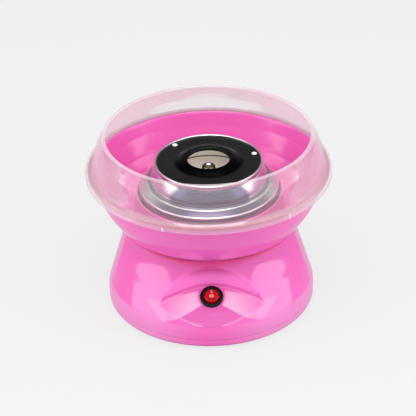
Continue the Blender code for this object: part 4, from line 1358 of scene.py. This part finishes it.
def build_rocker():
    steps = 96
    body = (  # (height, radius)
        (-4.6, 5.2), (-4.5, 5.5), (-4.1, 5.8), (-2.6, 6.8), (-2.2, 6.95), (0.0, 7.2),
        (1.2, 7.18),
    )
    face = (  # (radius, drop below the face)
        (7.15, 0.55), (7.08, 0.28), (6.9, 0.08), (6.65, 0.0), (5.6, 0), (4.4, 0), (3.2, 0),
        (2.0, 0), (0.9, 0),
    )
    bm = bmesh.new()
    rings = [flat_ring(bm, r, z, steps) for z, r in body]
    for r, drop in face:
        rings.append([
            bm.verts.new((x * MM, y * MM, (rocker_face(y) - drop) * MM))
            for x, y in circle(r, steps)
        ])
    bridge(bm, rings)
    cap_ends(bm, rings)
    bm.transform(ROCKER_FRAME)
    rocker = make_object("switch_rocker", bm, LENS, 40)
    return cut(rocker, [rod(0.85, -9, 9, 24, ROCKER_FRAME @ ALONG_X)], "UNION", 40)


def face_box(size, x, y, bevel):
    """A small box lying on the rocker's face."""
    tilt = Matrix.Rotation(math.copysign(FACE_TILT, y), 4, "X")
    return box(size, ROCKER_FRAME @ shift(x, y, rocker_face(y) + 0.02) @ tilt, bevel)


def mark_ring():
    """Printed oval ring near the middle of the face."""
    bm = bmesh.new()
    rings = []
    for r, lift in ((1.12, -0.06), (1.12, 0.08), (1.56, 0.08), (1.56, -0.06)):
        ring = []
        for x, y in circle(r, 64):
            x, y = x * 1.36, -0.2 + y * 1.02
            ring.append(bm.verts.new((x * MM, y * MM, (rocker_face(y) + lift) * MM)))
        rings.append(ring)
    bridge(bm, rings, closed=True)
    bm.transform(ROCKER_FRAME)
    return make_object("mark_off", bm, PRINT, 40)


fit(build_rocker(), "rocker")
mark_bar = make_object("mark_on", face_box((0.62, 2.9, 0.16), 0, 4.6, 0.05), PRINT, 40)
ride(mark_bar, "rocker")
ride(mark_ring(), "rocker")
GRIP_RIBS = (  # (x, y, length, width)
    (-1.7, -6.0, 1.1, 0.8), (1.7, -6.0, 1.1, 0.8), (0.0, -4.5, 8.6, 0.5),
)
ribs = [face_box((long, wide, 0.5), x, y, 0.2) for x, y, long, wide in GRIP_RIBS]
fit(make_object("rocker_grip", merge(ribs), BLACK, 40), "rocker", replaces=False)

# ---------------------------------------------------------------- board, cord and wires
board = box((34.0, 24.0, 1.6), shift(0, 62.0, 9.6), 0.15)
fit(make_object("rectifier_board", board, BOARD))
DIODE = [
    (0, -2.8), (0.3, -2.8), (0.4, -2.4), (1.3, -2.4), (1.4, -2.2), (1.4, 2.2), (1.3, 2.4),
    (0.4, 2.4), (0.3, 2.8), (0, 2.8),
]
for k, (x, y) in enumerate(((-10, 58), (-3, 58), (4, 66), (11, 66)), 1):
    fit(lathe(f"diode_{k}", DIODE, BLACK, steps=32, corner=0.1, at=(x, y, 11.85),
              turn=ALONG_Y), replaces=False)
fit(lathe(
    "strain_relief",
    [
        (3.5, -12.0), (4.2, -11.9), (4.3, -11.4), (3.9, -11.0), (4.4, -10.6), (4.5, -9.2),
        (4.0, -8.8), (4.5, -8.4), (4.6, -7.0), (4.1, -6.6), (4.6, -6.2), (4.6, -3.4),
        (5.0, -3.0), (5.0, 3.2), (6.4, 3.4), (6.4, 5.4), (3.3, 5.4),
    ],
    BLACK, steps=64, corner=0.25, at=(0, 105.2, CORD_Z), turn=ALONG_Y,
))


def cord_path():
    """Out at the back, down, along an outer lane, back along an inner one, up to the plug."""
    points = [
        (0, 86.0, CORD_Z), (0, 104.0, CORD_Z), (0, 117.0, CORD_Z), (0.6, 119.0, 15.4),
        (2.2, 120.0, 13.2), (5.2, 120.2, 9.0), (9.4, 119.6, 5.2), (14.5, 118.8, 3.6),
    ]
    outer, inner, lane_z = 119.6, 110.4, 3.4
    start, turn, end = math.radians(78), math.radians(44), math.radians(100)
    for i in range(9):
        a = start + (turn - start) * i / 8
        points.append((outer * math.cos(a), outer * math.sin(a), lane_z))
    middle, half = (outer + inner) / 2, (outer - inner) / 2
    for i in range(1, 8):
        b = math.pi * i / 8
        r, t = middle + half * math.cos(b), half * math.sin(b)
        x = r * math.cos(turn) + t * math.sin(turn)
        y = r * math.sin(turn) - t * math.cos(turn)
        points.append((x, y, lane_z))
    for i in range(15):
        a = turn + (end - turn) * i / 14
        points.append((inner * math.cos(a), inner * math.sin(a), lane_z))
    rise = (  # (angle, radius, height)
        (102.5, 111.2, 3.9), (104.8, 113.2, 5.3), (107.0, 115.2, 6.6), (109.12, 116.56, 7.3),
        (110.87, 116.02, 7.3),
    )
    return points + [polar(r, deg, z) for deg, r, z in rise]


fit(tube("power_cord", smooth_path(cord_path()), 2.85, BLACK, steps=24))

PLUG_ANGLE = 118.5
PLUG_AT = polar(115.0, PLUG_ANGLE, 7.3)
PLUG_TURN = Matrix.Rotation(math.radians(PLUG_ANGLE) + math.pi / 2, 4, "Z") @ ALONG_X


def plug_waist(co):
    """Narrows the plug's grip towards its middle."""
    s = 1 - 0.14 * math.exp(-((co.z / MM - 3) / 6) ** 2)
    return Vector((co.x * s, co.y * s, co.z))


fit(lathe(
    "plug_body",
    [
        (0, -15.0), (4.2, -15.0), (4.6, -12.5), (4.2, -12.0), (5.0, -11.5), (5.3, -9.0),
        (4.9, -8.5), (5.7, -8.0), (6.5, -3.0), (6.8, 6.0), (6.7, 12.0), (5.8, 15.0), (0, 15.0),
    ],
    BLACK, steps=64, corner=0.7, at=PLUG_AT, turn=PLUG_TURN, longest=2, ripple=plug_waist,
))
PLUG_PIN = [(0, 15.3), (2.0, 15.3), (2.0, 30.3), (1.6, 31.5), (0, 31.8)]
for k, offset in enumerate((-3.6, 3.6), 1):
    pin = lathe(f"plug_pin_{k}", PLUG_PIN, BRASS, steps=32, corner=0.4)
    pin.data.transform(Matrix.Translation(Vector(PLUG_AT) * MM) @ PLUG_TURN @ shift(0, offset, 0))
    fit(pin)


def behind_switch(x, z):
    """A point behind the switch: x across it, z out along its axis."""
    frame = Matrix.Translation(SWITCH_AT) @ Matrix.Rotation(SWITCH_TURN, 4, "X")
    return tuple(frame @ Vector((x, 0, z)))


WIRES = (  # (name, material, bend radius, corners)
    ("wire_live", WIRE_RED, 9, [
        (3.8, 83.0, 16.0), (30.0, 78.0, 16.0), (58.0, 40.0, 14.0), (58.0, -30.0, 14.0),
        (24.0, -52.0, 16.0), behind_switch(TERMINAL_X, -27.0), behind_switch(TERMINAL_X, -21.9),
    ]),
    ("wire_switched", WIRE_RED, 9, [
        behind_switch(-TERMINAL_X, -21.9), behind_switch(-TERMINAL_X, -26.0),
        (-26.0, -40.0, 30.0), (-40.0, 10.0, 40.0), (-30.0, 44.0, 74.0), (-LEG_X, LEG_Y, 80.0),
        (-LEG_X, LEG_Y, 87.6),
    ]),
    ("wire_neutral", WIRE_BLUE, 7, [
        (-3.8, 83.0, 16.0), (-8.0, 79.0, 30.0), (4.0, 66.0, 60.0), (LEG_X, LEG_Y, 78.0),
        (LEG_X, LEG_Y, 87.6),
    ]),
    ("wire_motor", WIRE_RED, 5, [
        (6.0, 56.0, 10.8), (6.0, 56.0, 16.0), (8.0, 30.0, 18.0), (9.0, 10.0, 22.0),
        (9.0, 8.0, 31.6),
    ]),
)
for name, material, bend, corners in WIRES:
    fit(tube(name, rounded_path(corners, bend), 0.9, material, steps=12))


# ================================================================ floor, light and camera
def floor_material():
    """Mostly a plain glow, brighter to the camera than to the model."""
    g = new_material("floor")
    patches = g.noise(scale=3, detail=2).vary()
    tone = g.blend(patches, (0.80, 0.80, 0.80), (0.83, 0.83, 0.83))
    diffuse = g.node("BsdfDiffuse", Color=tone)
    seen = g.node("LightPath", output="Is Camera Ray")
    glow = g.node("Emission", Color=(1, 1, 1), Strength=seen.scaled(low=0.66, high=0.858))
    diffuse_share = 0.12
    return g.finish(g.node("MixShader", diffuse_share, glow, diffuse))


floor_mesh = bpy.data.meshes.new("floor")
floor_mesh.from_pydata([(-8, -8, 0), (8, -8, 0), (8, 8, 0), (-8, 8, 0)], [], [(0, 1, 2, 3)])
floor_mesh.materials.append(floor_material())
floor = bpy.data.objects.new("floor", floor_mesh)
SCENE.collection.objects.link(floor)
floor.location.z = -0.0005


def studio_world():
    """Lights the model with a sky that dims to the back; the camera sees an even grey."""
    g = Graph(bpy.data.worlds.new("studio"), "OutputWorld")
    y = g.split(g.node("TexCoord", output="Generated"))[1]
    sky = g.node("Background", Color=y.ramp(0.15, 0.80, low=1.0, high=0.25), Strength=0.86)
    backdrop = g.node("Background", Color=(0.875, 0.875, 0.875), Strength=1.0)
    seen = g.node("LightPath", output="Is Camera Ray")
    return g.finish(g.node("MixShader", seen, sky, backdrop))


SCENE.world = studio_world()

LIGHT_TARGET = Vector((0, 0, 0.06))
SOFTBOXES = (  # (name, direction from the target, distance, (width, height), power in watts)
    ("soft_left", (-0.90, -0.30, 0.40), 1.3, (1.00, 0.85), 7.0),
    ("soft_right", (0.90, -0.30, 0.40), 1.3, (1.00, 0.85), 7.0),
    ("soft_top", (0.0, -0.58, 1.0), 1.5, (1.2, 0.75), 9.0),
    ("soft_zenith", (0.0, 0.10, 1.0), 1.5, (1.0, 0.5), 6.0),
)
for name, direction, distance, size, power in SOFTBOXES:
    light = bpy.data.lights.new(name, "AREA")
    light.shape = "RECTANGLE"
    light.size, light.size_y = size
    light.energy = power
    lamp = bpy.data.objects.new(name, light)
    SCENE.collection.objects.link(lamp)
    away = Vector(direction).normalized()
    lamp.location = LIGHT_TARGET + away * distance
    lamp.rotation_euler = away.to_track_quat("Z", "Y").to_euler()

CAMERA_RISE = math.radians(31.03)     # angle above the horizon
CAMERA_ROLL = math.radians(1.31)
CAMERA_DISTANCE = 1.8
CAMERA_TARGET = Vector((0, 0, 0.092))
level = Vector((1, 0, 0))
back = Vector((0, -math.cos(CAMERA_RISE), math.sin(CAMERA_RISE)))
upright = back.cross(level)
right = level * math.cos(CAMERA_ROLL) - upright * math.sin(CAMERA_ROLL)
up = upright * math.cos(CAMERA_ROLL) + level * math.sin(CAMERA_ROLL)
lens = bpy.data.cameras.new("camera")
lens.sensor_width = 36
lens.lens = 151.23
lens.shift_x = -0.00425
lens.shift_y = 0.0199
lens.clip_start = 0.05
lens.clip_end = 30
camera = bpy.data.objects.new("camera", lens)
SCENE.collection.objects.link(camera)
rotation = Matrix((right, up, back)).transposed().to_4x4()
camera.matrix_world = Matrix.Translation(CAMERA_TARGET + back * CAMERA_DISTANCE) @ rotation
SCENE.camera = camera
